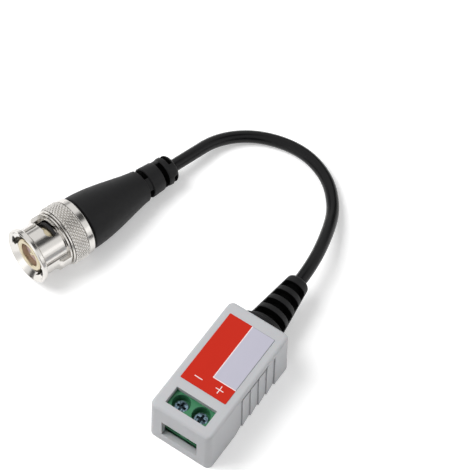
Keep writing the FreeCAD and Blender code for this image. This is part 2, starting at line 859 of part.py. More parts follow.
def cable():
    """Lead from the strain relief to the boot, resting on the surface at its bend."""
    first = Vector(relief_tip_x, 0, relief_height)
    second = first + Vector(cable_first_run, 0, 0)
    points = [first, second]
    points += [Vector(*point) for point in cable_points]
    points += [plug_point(boot_end + cable_last_run), plug_point(boot_end)]
    radii = []
    for before, corner, after in zip(points, points[1:], points[2:]):
        run_in = corner - before
        run_out = after - corner
        shorter = min(run_in.Length, run_out.Length)
        radii.append(cable_bend_share * shorter / math.tan(run_in.getAngle(run_out) / 2))
    print("cable bend radii:", [round(radius, 1) for radius in radii])
    tube = rod(points, radii, cable_radius)
    length = bent_path(points, radii).Length
    section = math.pi * cable_radius ** 2
    print("cable length %.2f, tube volume %.2f, section times length %.2f"
          % (length, tube.Volume, section * length))
    return tube


def coupling_nut():
    """Bayonet nut: lip, sleeve, collars, knurled ring and rim, with two channels."""
    outline = [(0, lip_radius - lip_chamfer), (lip_chamfer, lip_radius),
               (lip_width - lip_chamfer, lip_radius), (lip_width, lip_radius - lip_chamfer),
               (lip_width, sleeve_radius), (sleeve_end, sleeve_radius)]
    rings = [(sleeve_end, collar_width, collar_radius), (nut_step_start, step_width, step_radius),
             (nut_knurl_start, knurl_length, knurl_radius)]
    for start, width, radius in rings:
        outline += [(start, radius), (start + width, radius),
                    (start + width, radius - groove_depth),
                    (start + width + groove_width, radius - groove_depth)]
    outline += [(nut_rim_start, rim_radius), (nut_end - rim_rounding, rim_radius),
                (nut_end, rim_radius - rim_rounding), (nut_end, nut_chamber_radius),
                (washer_start, nut_chamber_radius),
                (washer_start, body_shaft_radius + body_shaft_gap),
                (nut_shoulder_start, body_shaft_radius + body_shaft_gap),
                (nut_shoulder_start, nut_bore_radius), (mouth_bevel_length, nut_bore_radius),
                (0, nut_bore_radius + mouth_bevel_width)]
    nut = revolved(outline)
    humps = []
    channels = []
    for side in (0, 180):
        humps.append(turned(channel_hump(), side))
        humps.append(turned(channel_pad(), side))
        channels += [turned(cutter, side) for cutter in channel_cutters()]
    bore = Part.makeCylinder(nut_bore_radius, nut_shoulder_start, Vector(0, 0, 0),
                             Vector(1, 0, 0))
    nut = fused([nut] + [hump.cut(bore) for hump in humps])
    return nut.cut(channels)


def ramp(width, inner, outer, entry, run, angle_margin):
    """Helical ramp of a channel: sections lofted from the entry's depth to the run's."""
    sections = []
    first_angle = channel_entry_angle - angle_margin
    last_angle = channel_open_angle + angle_margin
    for index in range(channel_sections + 1):
        share = index / channel_sections
        angle = math.radians(first_angle + share * (last_angle - first_angle))
        middle = entry + share * (run - entry)
        corners = []
        for x, r in ((middle - width / 2, inner), (middle + width / 2, inner),
                     (middle + width / 2, outer), (middle - width / 2, outer)):
            corners.append(Vector(x, -r * math.sin(angle), r * math.cos(angle)))
        sections.append(Part.makePolygon(corners + corners[:1]))
    return Part.makeLoft(sections, True, True)


def channel_hump():
    """Raised hump over the ramp, where the channel runs inside the sleeve."""
    outer = channel_radius + hump_wall
    margin = math.degrees((stud_slot_width / 2 + hump_border) / sleeve_radius)
    width = stud_slot_width + 2 * hump_border
    middle = (lip_width + channel_run_depth) / 2
    return ramp(channel_run_depth - lip_width + width / 2, nut_bore_radius, outer,
                middle, middle, margin)


def channel_pad():
    """Thick pad on the sleeve, against the collar, where the open slot begins."""
    points = [Vector(pad_start, 0, nut_bore_radius), Vector(pad_start, 0, sleeve_radius),
              Vector(pad_start + pad_rise, 0, pad_radius), Vector(sleeve_end, 0, pad_radius),
              Vector(sleeve_end, 0, nut_bore_radius)]
    face = Part.Face(Part.makePolygon(points + points[:1]))
    span = pad_last_angle - pad_first_angle
    pad = face.revolve(Vector(0, 0, 0), Vector(1, 0, 0), span)
    return turned(pad, pad_first_angle)


def channel_cutters():
    """Cutters of one bayonet channel: entry, ramp, open slot and stud hole."""
    inner = nut_bore_radius - cut_margin / 2
    entry = box(-cut_margin, channel_entry_depth + stud_slot_width / 2,
                -stud_slot_width / 2, stud_slot_width / 2, inner, channel_radius)
    rise = ramp(stud_slot_width, inner, channel_radius, channel_entry_depth,
                channel_run_depth, 0)
    through = pad_radius + cut_margin
    span = channel_end_angle - channel_open_angle
    run = sector(channel_run_depth - stud_slot_width / 2,
                 channel_run_depth + stud_slot_width / 2, inner, through,
                 channel_open_angle + span / 2, span)
    hole = Part.makeCylinder(stud_hole_radius, through, Vector(channel_run_depth, 0, 0),
                             Vector(0, 0, 1))
    return [turned(entry, channel_entry_angle), rise, run, turned(hole, channel_end_angle)]


def thrust_washer():
    """Flat washer between the nut's shoulder and the body's flange."""
    inner = body_shaft_radius + body_shaft_gap
    outer = nut_chamber_radius - washer_edge_gap
    end = washer_start + washer_thickness
    return revolved([(washer_start, inner), (washer_start, outer), (end, outer), (end, inner)])


def wave_washer():
    """Spring washer with three waves between the body's flange and the retaining ring."""
    inner = body_hub_radius + spring_inner_gap
    outer = nut_chamber_radius - spring_edge_gap
    swing = (spring_height - spring_thickness) / 2
    steps = 4 * spring_waves
    sections = []
    for index in range(steps):
        angle = 2 * math.pi * index / steps
        middle = body_flange_end + spring_height / 2 + swing * math.cos(spring_waves * angle)
        corners = []
        for x, r in ((middle - spring_thickness / 2, inner), (middle + spring_thickness / 2, inner),
                     (middle + spring_thickness / 2, outer), (middle - spring_thickness / 2, outer)):
            corners.append(Vector(x, -r * math.sin(angle), r * math.cos(angle)))
        sections.append(Part.makePolygon(corners + corners[:1]))
    halves = []
    for start in (0, steps // 2):
        chosen = [sections[(start + k) % steps] for k in range(steps // 2 + 1)]
        halves.append(Part.makeLoft(chosen, True, True))
    return fused(halves)


def retaining_ring():
    """Ring pressed into the nut behind the spring."""
    inner = body_hub_radius + ring_hub_gap
    outer = nut_chamber_radius - press_gap
    end = ring_start + ring_thickness
    return revolved([(ring_start, inner), (ring_start, outer), (end, outer), (end, inner)])


def plug_body():
    """Turned body: shaft the nut turns on, flange, hub and crimp stub."""
    socket_end = body_front + body_socket_depth
    return revolved([(body_front, body_socket_radius), (body_front, body_shaft_radius),
                     (body_flange_start, body_shaft_radius), (body_flange_start, body_flange_radius),
                     (body_flange_end, body_flange_radius), (body_flange_end, body_hub_radius),
                     (body_hub_end, body_hub_radius), (body_hub_end, body_stub_radius),
                     (body_stub_end, body_stub_radius), (body_stub_end, body_bore_radius),
                     (socket_end, body_bore_radius), (socket_end, body_socket_radius)])


def outer_contact():
    """Outer contact tube, its tail pressed into the body."""
    tail = body_socket_radius - press_gap
    tail_end = body_front + body_socket_depth
    groove = contact_outer_radius - gasket_groove_depth
    groove_start = body_front - gasket_width - gasket_groove_margin
    return revolved([(contact_front, contact_inner_radius + contact_chamfer),
                     (contact_front, contact_outer_radius - contact_chamfer),
                     (contact_front + contact_chamfer, contact_outer_radius),
                     (groove_start, contact_outer_radius), (groove_start, groove),
                     (body_front, groove), (body_front, tail),
                     (tail_end, tail), (tail_end, contact_inner_radius),
                     (contact_front + contact_chamfer, contact_inner_radius)])


def gasket():
    """Sealing ring round the outer contact, against the body's front."""
    inner = contact_outer_radius - gasket_groove_depth + gasket_inner_gap
    outer = nut_bore_radius - gasket_outer_gap
    start = body_front - gasket_width
    return revolved([(start, inner), (start, outer), (body_front, outer), (body_front, inner)])


def insulator():
    """Insulator between the outer contact and the pin."""
    outer = contact_inner_radius - insulator_gap
    end = body_front + body_socket_depth
    return revolved([(insulator_front, pin_radius + pin_gap), (insulator_front, outer),
                     (end, outer), (end, pin_barrel_radius + pin_gap),
                     (pin_barrel_start, pin_barrel_radius + pin_gap),
                     (pin_barrel_start, pin_radius + pin_gap)])


def centre_pin():
    """Centre contact with a rounded tip and a solder barrel."""
    barrel = pin_barrel_start + pin_gap
    return revolved([(pin_tip, 0), (pin_tip, pin_radius / 2),
                     (pin_tip + pin_radius / 2, pin_radius), (barrel, pin_radius),
                     (barrel, pin_barrel_radius), (pin_end, pin_barrel_radius), (pin_end, 0)])


def crimp_ferrule():
    """Sleeve crimped over the braid on the body's stub."""
    inner = body_stub_radius + ferrule_gap
    outer = inner + ferrule_wall
    return revolved([(ferrule_start, inner), (ferrule_start, outer),
                     (ferrule_end, outer), (ferrule_end, inner)])


def plug_boot():
    """Moulded boot over the ferrule, ringed and slotted where the lead leaves it."""
    hub_pocket = body_hub_radius + boot_pocket_gap
    ferrule_pocket = body_stub_radius + ferrule_gap + ferrule_wall + boot_pocket_gap
    pocket_step = body_hub_end + boot_pocket_gap
    pocket_end = ferrule_end + boot_pocket_gap
    front = [(pocket_end, 0), (pocket_end, ferrule_pocket), (pocket_step, ferrule_pocket),
             (pocket_step, hub_pocket), (boot_front, hub_pocket),
             (boot_front, boot_front_radius - boot_front_rounding),
             (boot_front + boot_front_rounding, boot_front_radius)]
    back = [(boot_neck, boot_neck_radius), (boot_neck, boot_groove_radius),
            (boot_ring_start, boot_groove_radius), (boot_ring_start, boot_ring_radius),
            (boot_ring_end, boot_ring_end_radius), (boot_ring_end, boot_tip_radius),
            (boot_tip_start, boot_tip_radius), (boot_tip_rounding_start, boot_tip_radius)]
    front_points = [Vector(x, 0, r) for x, r in front]
    back_points = [Vector(x, 0, r) for x, r in back]
    turn = Vector(boot_swell_turn, 0, boot_swell_turn_radius)
    bulge = (front_points[-1] + turn) * 0.5 + Vector(0, 0, boot_front_bulge)
    hollow = (turn + back_points[0]) * 0.5 - Vector(0, 0, boot_neck_hollow)
    edges = [Part.makeLine(a, b) for a, b in zip(front_points, front_points[1:])]
    edges.append(Part.Arc(front_points[-1], bulge, turn).toShape())
    edges.append(Part.Arc(turn, hollow, back_points[0]).toShape())
    edges += [Part.makeLine(a, b) for a, b in zip(back_points, back_points[1:])]
    shoulder = Vector(boot_tip_shoulder, 0, boot_tip_shoulder_radius)
    end = Vector(boot_end, 0, boot_end_radius)
    edges += [Part.makeLine(back_points[-1], shoulder), Part.makeLine(shoulder, end)]
    edges.append(Part.makeLine(end, Vector(boot_end, 0, 0)))
    edges.append(Part.makeLine(Vector(boot_end, 0, 0), front_points[0]))
    boot = Part.Face(Part.Wire(edges)).revolve(Vector(0, 0, 0), Vector(1, 0, 0), 360)
    levels = [(boot_ring_start - boot_slot_width, boot_slot_width, boot_slot_centre),
              (boot_ring_end, boot_tip_start - boot_ring_end, boot_slot_centre + 90),
              (boot_tip_slot_start, boot_tip_slot_width, boot_slot_centre)]
    cuts = []
    for start, width, centre in levels:
        for side in (0, 180):
            cuts.append(sector(start, start + width, boot_core_radius, boot_front_radius,
                               centre + side, boot_slot_angle))
    return boot.cut(cuts)


def coax_end():
    """Stripped insulation of the lead in the body's bore, up to the pin."""
    start = pin_end + pin_gap
    return revolved([(start, 0), (start, dielectric_radius), (ferrule_end, dielectric_radius),
                     (ferrule_end, 0)])


def build_nodes():
    """Every piece of the object, by name."""
    nodes = {
        "housing_shell": housing_shell(),
        "base_cover": base_cover(),
        "label": label(),
        "circuit_board": circuit_board(),
        "terminal_block": terminal_block(),
        "ferrite_core": ferrite_core(),
        "choke_winding": choke_winding(),
        "capacitor": capacitor(),
        "surge_diode": surge_diode(),
        "chip_resistors": chip_resistors(),
        "coax_core": coax_core(),
        "shield_pigtail": shield_pigtail(),
        "strain_relief": strain_relief(),
        "cable": cable(),
    }
    for name, y in pole_sides():
        nodes["wire_cage_" + name] = wire_cage(y)
        nodes["contact_" + name] = contact(y)
        nodes["terminal_screw_" + name] = terminal_screw(y)
    plug_pieces = {
        "coupling_nut": coupling_nut(),
        "thrust_washer": thrust_washer(),
        "wave_washer": wave_washer(),
        "retaining_ring": retaining_ring(),
        "plug_body": plug_body(),
        "outer_contact": outer_contact(),
        "gasket": gasket(),
        "insulator": insulator(),
        "centre_pin": centre_pin(),
        "crimp_ferrule": crimp_ferrule(),
        "plug_boot": plug_boot(),
        "coax_end": coax_end(),
    }
    for name, shape in plug_pieces.items():
        nodes[name] = plug_placed(shape)
    return nodes


os.makedirs("parts", exist_ok=True)
for node_name, node_shape in build_nodes().items():
    node_shape.exportStep(os.path.join("parts", node_name + ".step"))
    print("%-20s solids %d valid %s volume %.2f mm3"
          % (node_name, len(node_shape.Solids), node_shape.isValid(), node_shape.Volume))
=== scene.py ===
"""Looks for a video balun: its moulded box, screw terminals, lead and bayonet plug.

Lengths are metres in the part's own frame: X from the terminals to the lead, Z up.
"""

from __future__ import annotations

import json
import logging
import math
from dataclasses import dataclass, replace
from enum import Enum

import bmesh
import bpy
import numpy as np
from bpy.types import Material, Mesh, Node, NodeSocket, NodeTree, Object
from mathutils import Matrix, Vector

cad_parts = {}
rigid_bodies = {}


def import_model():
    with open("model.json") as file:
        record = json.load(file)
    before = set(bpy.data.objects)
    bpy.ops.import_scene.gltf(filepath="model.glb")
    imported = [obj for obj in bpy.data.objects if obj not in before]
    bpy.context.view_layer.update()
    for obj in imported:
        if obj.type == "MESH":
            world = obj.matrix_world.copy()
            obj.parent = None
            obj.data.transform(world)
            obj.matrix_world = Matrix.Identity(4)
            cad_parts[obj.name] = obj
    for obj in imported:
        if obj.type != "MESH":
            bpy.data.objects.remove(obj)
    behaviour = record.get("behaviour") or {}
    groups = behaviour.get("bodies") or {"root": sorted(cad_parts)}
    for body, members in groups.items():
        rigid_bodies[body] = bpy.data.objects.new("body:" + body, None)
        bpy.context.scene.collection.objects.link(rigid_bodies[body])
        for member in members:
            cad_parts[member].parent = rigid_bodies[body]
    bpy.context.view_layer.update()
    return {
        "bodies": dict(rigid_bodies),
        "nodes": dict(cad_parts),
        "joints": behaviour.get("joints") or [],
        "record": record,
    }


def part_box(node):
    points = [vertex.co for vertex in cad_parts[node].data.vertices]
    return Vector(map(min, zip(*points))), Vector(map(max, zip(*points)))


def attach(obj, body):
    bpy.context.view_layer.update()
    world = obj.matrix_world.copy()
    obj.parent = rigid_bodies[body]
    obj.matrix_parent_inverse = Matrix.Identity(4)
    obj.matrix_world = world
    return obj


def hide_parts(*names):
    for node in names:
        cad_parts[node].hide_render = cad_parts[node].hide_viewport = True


LOG = logging.getLogger("balun")
MM = 0.001
WHITE = (1.0, 1.0, 1.0, 1.0)
FULL_TURN = 2 * math.pi
Colour = tuple[float, float, float]
Place = tuple[float, float, float]
Pair = tuple[float, float]

# Below these distances in metres, and this angle in degrees, meshes are cleaned up
SKIN_MERGE = 1e-6
GRID_MERGE = 2e-7
GRID_SLIVER = 1e-7
FLAT_ANGLE = 0.6


class Slot(Enum):
    """Material slots of the record. Each skin holds one, but takes its finish from the material it is given.
    """

    HOUSING = "housing_plastic"
    LABEL = "label_print"
    TERMINAL = "terminal_green"
    ZINC = "zinc_steel"
    TINNED = "tinned_brass"
    MOULDING = "black_moulding"
    JACKET = "cable_jacket"
    NICKEL = "nickel"
    GOLD = "gold_plate"
    INSULATOR = "insulator_plastic"
    GASKET = "gasket_rubber"


# Shader nodes that several finishes share


def blank_material(name: str) -> tuple[Material, NodeTree, Node]:
    """Make a material.

    Args:
        name: Its name.

    Returns:
        The material, its tree and its Principled shader.
    """
    material = bpy.data.materials.new(name)
    material.use_nodes = True
    tree = material.node_tree
    return material, tree, tree.nodes["Principled BSDF"]


def new_group(name: str, inputs: dict[str, float], outputs: tuple[str, ...]) -> NodeTree:
    """Make an empty shader group with float inputs and float outputs.

    Args:
        name: The group's name.
        inputs: Each input socket and its default.
        outputs: The output sockets.

    Returns:
        The node group, with its group input and output nodes placed.
    """
    group = bpy.data.node_groups.new(name, "ShaderNodeTree")
    for socket, value in inputs.items():
        item = group.interface.new_socket(name=socket, in_out="INPUT", socket_type="NodeSocketFloat")
        item.default_value = value
    for socket in outputs:
        group.interface.new_socket(name=socket, in_out="OUTPUT", socket_type="NodeSocketFloat")
    group.nodes.new("NodeGroupInput").name = "in"
    group.nodes.new("NodeGroupOutput").name = "out"
    return group


def feed(tree: NodeTree, target: NodeSocket, value: NodeSocket | float | tuple[float, ...]) -> None:
    """Link an input to a socket, or set it to a plain value.

    Args:
        tree: The tree of both.
        target: The input.
        value: The socket or the plain value.
    """
    if isinstance(value, NodeSocket):
        tree.links.new(value, target)
    else:
        target.default_value = value


def object_place(tree: NodeTree) -> NodeSocket:
    """Give the shaded point in the object's own coordinates."""
    return tree.nodes.new("ShaderNodeTexCoord").outputs["Object"]


def noise(tree: NodeTree, vector: NodeSocket, scale: NodeSocket | float, detail: float,
          roughness: float = 0.5) -> NodeSocket:
    """Add a noise texture.

    Args:
        tree: The tree it goes into.
        vector: The coordinates it reads.
        scale: Its scale, as a number or a socket.
        detail: Its octaves.
        roughness: How strong the finer octaves are.

    Returns:
        Its factor output.
    """
    node = tree.nodes.new("ShaderNodeTexNoise")
    node.inputs["Detail"].default_value = detail
    node.inputs["Roughness"].default_value = roughness
    tree.links.new(vector, node.inputs["Vector"])
    feed(tree, node.inputs["Scale"], scale)
    return node.outputs["Fac"]


def math_node(tree: NodeTree, operation: str, first: NodeSocket | float, second: NodeSocket | float,
              clamp: bool = False) -> NodeSocket:
    """Add a math node on two sockets or numbers.

    Args:
        tree: The tree it goes into.
        operation: The node's operation.
        first: Its first operand.
        second: Its second operand.
        clamp: Whether the result is kept between 0 and 1.

    Returns:
        Its output.
    """
    node = tree.nodes.new("ShaderNodeMath")
    node.operation = operation
    node.use_clamp = clamp
    feed(tree, node.inputs[0], first)
    feed(tree, node.inputs[1], second)
    return node.outputs[0]


def length_of(tree: NodeTree, vector: NodeSocket) -> NodeSocket:
    """Add a node that gives a vector's length.

    Args:
        tree: The tree it goes into.
        vector: The vector.

    Returns:
        Its output.
    """
    node = tree.nodes.new("ShaderNodeVectorMath")
    node.operation = "LENGTH"
    tree.links.new(vector, node.inputs[0])
    return node.outputs["Value"]


def mapped(tree: NodeTree, value: NodeSocket, source: Pair, target: Pair,
           shape: str = "LINEAR") -> NodeSocket:
    """Add a node that maps one range to another, and stays within the second.

    Args:
        tree: The tree it goes into.
        value: The value it reads.
        source: The first range.
        target: The second range.
        shape: How it runs from one end to the other.

    Returns:
        Its output.
    """
    node = tree.nodes.new("ShaderNodeMapRange")
    node.interpolation_type = shape
    for socket, number in zip(("From Min", "From Max", "To Min", "To Max"), (*source, *target)):
        node.inputs[socket].default_value = number
    tree.links.new(value, node.inputs["Value"])
    return node.outputs["Result"]


class SharedGroups:
    """The shader groups, each built once. Noise scales are per metre."""

    tone_scale = 190.0
    blotch_scale = 900.0
    smudge_scale = 350.0
    mark_stretch = (1.0, 6.0, 6.0)
    middle = 0.5
    smudge_middle = 0.42

    def __init__(self) -> None:
        """Build every group."""
        self.grain = self._grain()
        self.polish = self._polish()
        self.field = self._field()

    def _grain(self) -> NodeTree:
        """Build the moulded grain: fine pits over slow tone changes.

        Returns:
            A group with Height, Tone and Roughness outputs.
        """
        group = new_group("moulded_grain", {"Pits per metre": 4000.0, "Tone": 0.05, "Roughness": 0.5,
                                            "Roughness swing": 0.1}, ("Height", "Tone", "Roughness"))
        source, target = group.nodes["in"], group.nodes["out"]
        place = object_place(group)
        pits = noise(group, place, source.outputs["Pits per metre"], detail=2.0)
        slow = noise(group, place, self.tone_scale, detail=3.0)
        blotch = noise(group, place, self.blotch_scale, detail=4.0, roughness=0.6)
        group.links.new(pits, target.inputs["Height"])
        centred = math_node(group, "SUBTRACT", slow, self.middle)
        scaled = math_node(group, "MULTIPLY", centred, source.outputs["Tone"])
        group.links.new(math_node(group, "ADD", scaled, 1.0), target.inputs["Tone"])
        swing = math_node(group, "MULTIPLY", math_node(group, "SUBTRACT", blotch, self.middle),
                          source.outputs["Roughness swing"])
        group.links.new(math_node(group, "ADD", swing, source.outputs["Roughness"], clamp=True),
                        target.inputs["Roughness"])
        return group

    def _polish(self) -> NodeTree:
        """Build polished metal: faint scratches, handling marks and uneven gloss.

        Returns:
            A group with Height and Roughness outputs.
        """
        group = new_group("polished_metal", {"Roughness": 0.15, "Smudge": 0.12, "Marks per metre": 1500.0},
                          ("Height", "Roughness"))
        source, target = group.nodes["in"], group.nodes["out"]
        place = object_place(group)
        stretch = group.nodes.new("ShaderNodeMapping")
        stretch.inputs["Scale"].default_value = self.mark_stretch
        group.links.new(place, stretch.inputs["Vector"])
        marks = noise(group, stretch.outputs["Vector"], source.outputs["Marks per metre"],
                      detail=3.0, roughness=0.6)
        smudge = noise(group, place, self.smudge_scale, detail=3.0, roughness=0.55)
        group.links.new(marks, target.inputs["Height"])
        swing = math_node(group, "MULTIPLY", math_node(group, "SUBTRACT", smudge, self.smudge_middle),
                          source.outputs["Smudge"])
        group.links.new(math_node(group, "ADD", swing, source.outputs["Roughness"], clamp=True),
                        target.inputs["Roughness"])
        return group

    def _field(self) -> NodeTree:
        """Build a printed rectangle: 1 between two X and two Y limits, 0 outside.

        Returns:
            A group with a Mask output.
        """
        group = new_group("printed_field", {"Low X": 0.0, "High X": 0.01, "Low Y": 0.0, "High Y": 0.01},
                          ("Mask",))
        source, target = group.nodes["in"], group.nodes["out"]
        split = group.nodes.new("ShaderNodeSeparateXYZ")
        group.links.new(object_place(group), split.inputs[0])
        inside = None
        for axis in ("X", "Y"):
            above = math_node(group, "GREATER_THAN", split.outputs[axis], source.outputs["Low " + axis])
            below = math_node(group, "LESS_THAN", split.outputs[axis], source.outputs["High " + axis])
            both = math_node(group, "MULTIPLY", above, below)
            inside = both if inside is None else math_node(group, "MULTIPLY", inside, both)
        group.links.new(inside, target.inputs["Mask"])
        return group


def placed_group(tree: NodeTree, group: NodeTree, **values: float) -> Node:
    """Put a shared group into a material.

    Args:
        tree: The material's tree.
        group: The group.
        **values: Input values, with underscores for spaces in the socket names.

    Returns:
        The group node.
    """
    node = tree.nodes.new("ShaderNodeGroup")
    node.node_tree = group
    for name, value in values.items():
        node.inputs[name.replace("_", " ")].default_value = value
    return node


def bumped(tree: NodeTree, height: NodeSocket, depth: float, strength: float) -> NodeSocket:
    """Add a bump node.

    Args:
        tree: The material's tree.
        height: The height it reads.
        depth: How deep a height of 1 is, in metres.
        strength: How strongly it tilts the normal.

    Returns:
        Its normal output.
    """
    bump = tree.nodes.new("ShaderNodeBump")
    bump.inputs["Distance"].default_value = depth
    bump.inputs["Strength"].default_value = strength
    tree.links.new(height, bump.inputs["Height"])
    return bump.outputs["Normal"]


def tinted(tree: NodeTree, colour: NodeSocket | Colour, tone: NodeSocket) -> NodeSocket:
    """Multiply a colour by a tone that changes over the surface.

    Args:
        tree: The material's tree.
        colour: A socket, or linear red, green and blue.
        tone: The factor.

    Returns:
        The tinted colour.
    """
    scale = tree.nodes.new("ShaderNodeVectorMath")
    scale.operation = "SCALE"
    feed(tree, scale.inputs[0], colour)
    tree.links.new(tone, scale.inputs["Scale"])
    return scale.outputs["Vector"]


@dataclass(frozen=True)
class Finish:
    """What every finish has: a name and a linear colour."""

    name: str
    colour: Colour

    def start(self) -> tuple[Material, NodeTree, Node]:
        """Make the material, with its colour for the plain view.

        Returns:
            The material, its tree and its Principled shader.
        """
        material, tree, shader = blank_material(self.name)
        material.diffuse_color = (*self.colour, 1.0)
        return material, tree, shader

    def material(self, groups: SharedGroups) -> Material:
        """Build the material; each finish does it in its own way."""
        raise NotImplementedError


@dataclass(frozen=True)
class Moulded(Finish):
    """Moulded plastic or rubber, with a fine grain, uneven gloss and slow tone changes."""

    roughness: float = 0.5
    swing: float = 0.12
    pits: float = 5000.0
    depth: float = 0.00002
    bump: float = 0.5
    tone: float = 0.06
    coat: float = 0.0
    coat_roughness: float = 0.12
    specular: float = 0.5
    scatter: float = 0.0
    scatter_depth: float = 0.0006

    def ground(self, tree: NodeTree, groups: SharedGroups) -> NodeSocket | Colour:
        """Give the colour under the tone changes; a plain moulding has a single one."""
        return self.colour

    def material(self, groups: SharedGroups) -> Material:
        """Build the material.

        Args:
            groups: The shared shader groups.

        Returns:
            The material.
        """
        material, tree, shader = self.start()
        grain = placed_group(tree, groups.grain, Pits_per_metre=self.pits, Tone=self.tone,
                             Roughness=self.roughness, Roughness_swing=self.swing)
        colour = tinted(tree, self.ground(tree, groups), grain.outputs["Tone"])
        tree.links.new(colour, shader.inputs["Base Color"])
        tree.links.new(grain.outputs["Roughness"], shader.inputs["Roughness"])
        normal = bumped(tree, grain.outputs["Height"], self.depth, self.bump)
        tree.links.new(normal, shader.inputs["Normal"])
        shader.inputs["Coat Weight"].default_value = self.coat
        shader.inputs["Coat Roughness"].default_value = self.coat_roughness
        shader.inputs["Specular IOR Level"].default_value = self.specular
        if self.scatter:
            shader.inputs["Subsurface Weight"].default_value = self.scatter
            shader.inputs["Subsurface Scale"].default_value = self.scatter_depth
        return material


@dataclass(frozen=True)
class Plated(Finish):
    """Plated or bare metal with faint scratches and uneven gloss."""

    roughness: float = 0.16
    smudge: float = 0.12
    marks: float = 1500.0
    depth: float = 0.000004
    bump: float = 0.4

    def material(self, groups: SharedGroups) -> Material:
        """Build the material.

        Args:
            groups: The shared shader groups.

        Returns:
            The material.
        """
        material, tree, shader = self.start()
        shader.inputs["Base Color"].default_value = (*self.colour, 1.0)
        shader.inputs["Metallic"].default_value = 1.0
        polish = placed_group(tree, groups.polish, Roughness=self.roughness, Smudge=self.smudge,
                              Marks_per_metre=self.marks)
        tree.links.new(polish.outputs["Roughness"], shader.inputs["Roughness"])
        normal = bumped(tree, polish.outputs["Height"], self.depth, self.bump)
        tree.links.new(normal, shader.inputs["Normal"])
        return material


@dataclass(frozen=True)
class PlatedScrew(Plated):
    """Plated screw whose dark passivation is worn off in patches on the head's top, with painted shade below
    the top.

    The painted shade darkens the recess and the head's side below the height shaded_below, setting in
    over fade, in metres. The passivation is worn where the patches' noise is between unworn and worn.
    passivation_and_shade is the brightness of the unworn passivation and of the painted shade.
    """

    shaded_below: float = 0.0
    fade: float = 0.00015
    passivation_and_shade: float = 0.24
    patches: float = 2200.0
    unworn: float = 0.42
    worn: float = 0.6

    def material(self, groups: SharedGroups) -> Material:
        """Build the material.

        Args:
            groups: The shared shader groups.

        Returns:
            The material, with painted shade below the height shaded_below and its passivation worn in
            patches.
        """
        material = super().material(groups)
        tree = material.node_tree
        place = object_place(tree)
        split = tree.nodes.new("ShaderNodeSeparateXYZ")
        tree.links.new(place, split.inputs[0])
        brightness = (self.passivation_and_shade, 1.0)
        blotches = noise(tree, place, self.patches, detail=2.0)
        patch = mapped(tree, blotches, (self.unworn, self.worn), brightness)
        # Painted shade: darker below the head's top, standing in for the shade in the recess and on the
        # head's side
        painted_shade = mapped(tree, split.outputs["Z"], (self.shaded_below - self.fade, self.shaded_below), brightness)
        wear_and_shade = math_node(tree, "MULTIPLY", painted_shade, patch)
        tree.links.new(tinted(tree, self.colour, wear_and_shade), tree.nodes["Principled BSDF"].inputs["Base Color"])
        return material


@dataclass(frozen=True)
class PrintedField:
    """A printed rectangle on the label: X limits and Y limits in metres, and colour."""

    across: Pair
    along: Pair
    colour: Colour


@dataclass(frozen=True, kw_only=True)
class PrintedFilm(Moulded):
    """Label film with fields of ink over its ground colour, the later ones on top."""

    fields: tuple[PrintedField, ...]

    def ground(self, tree: NodeTree, groups: SharedGroups) -> NodeSocket:
        """Lay the fields over the ground colour.

        Args:
            tree: The material's tree.
            groups: The shared shader groups.

        Returns:
            The printed colour.
        """
        ink = (*self.colour, 1.0)
        for printed in self.fields:
            mask = placed_group(tree, groups.field, Low_X=printed.across[0], High_X=printed.across[1],
                                Low_Y=printed.along[0], High_Y=printed.along[1])
            mix = tree.nodes.new("ShaderNodeMix")
            mix.data_type = "RGBA"
            factor, under, over, mixed = mix.inputs[0], mix.inputs[6], mix.inputs[7], mix.outputs[2]
            tree.links.new(mask.outputs["Mask"], factor)
            feed(tree, under, ink)
            over.default_value = (*printed.colour, 1.0)
            ink = mixed
        return ink


# Meshes


def link(obj: Object) -> Object:
    """Put an object into the scene and return it."""
    bpy.context.scene.collection.objects.link(obj)
    return obj


def rectangle(name: str, size: Pair, material: Material) -> Object:
    """Make a flat rectangle about the origin.

    Args:
        name: Its name.
        size: Its sides along X and Y.
        material: Its material.

    Returns:
        The object.
    """
    x, y = size[0] / 2, size[1] / 2
    mesh = bpy.data.meshes.new(name)
    mesh.from_pydata([(-x, -y, 0), (x, -y, 0), (x, y, 0), (-x, y, 0)], [], [(0, 1, 2, 3)])
    mesh.materials.append(material)
    return link(bpy.data.objects.new(name, mesh))


def smooth(mesh: Mesh, angle: float) -> None:
    """Shade a mesh smooth, apart from its creases.

    Args:
        mesh: The mesh.
        angle: Edges sharper than this, in degrees, stay creases.
    """
    for name in ("custom_normal", "sharp_face", "sharp_edge"):
        layer = mesh.attributes.get(name)
        if layer is not None:
            mesh.attributes.remove(layer)
    mesh.polygons.foreach_set("use_smooth", np.ones(len(mesh.polygons), dtype=bool))
    mesh.set_sharp_from_angle(angle=math.radians(angle))


def points_of(mesh: Mesh) -> np.ndarray:
    """Give a mesh's points as rows of X, Y and Z.

    Args:
        mesh: The mesh.

    Returns:
        The rows.
    """
    points = np.empty(len(mesh.vertices) * 3)
    mesh.vertices.foreach_get("co", points)
    return points.reshape(-1, 3)


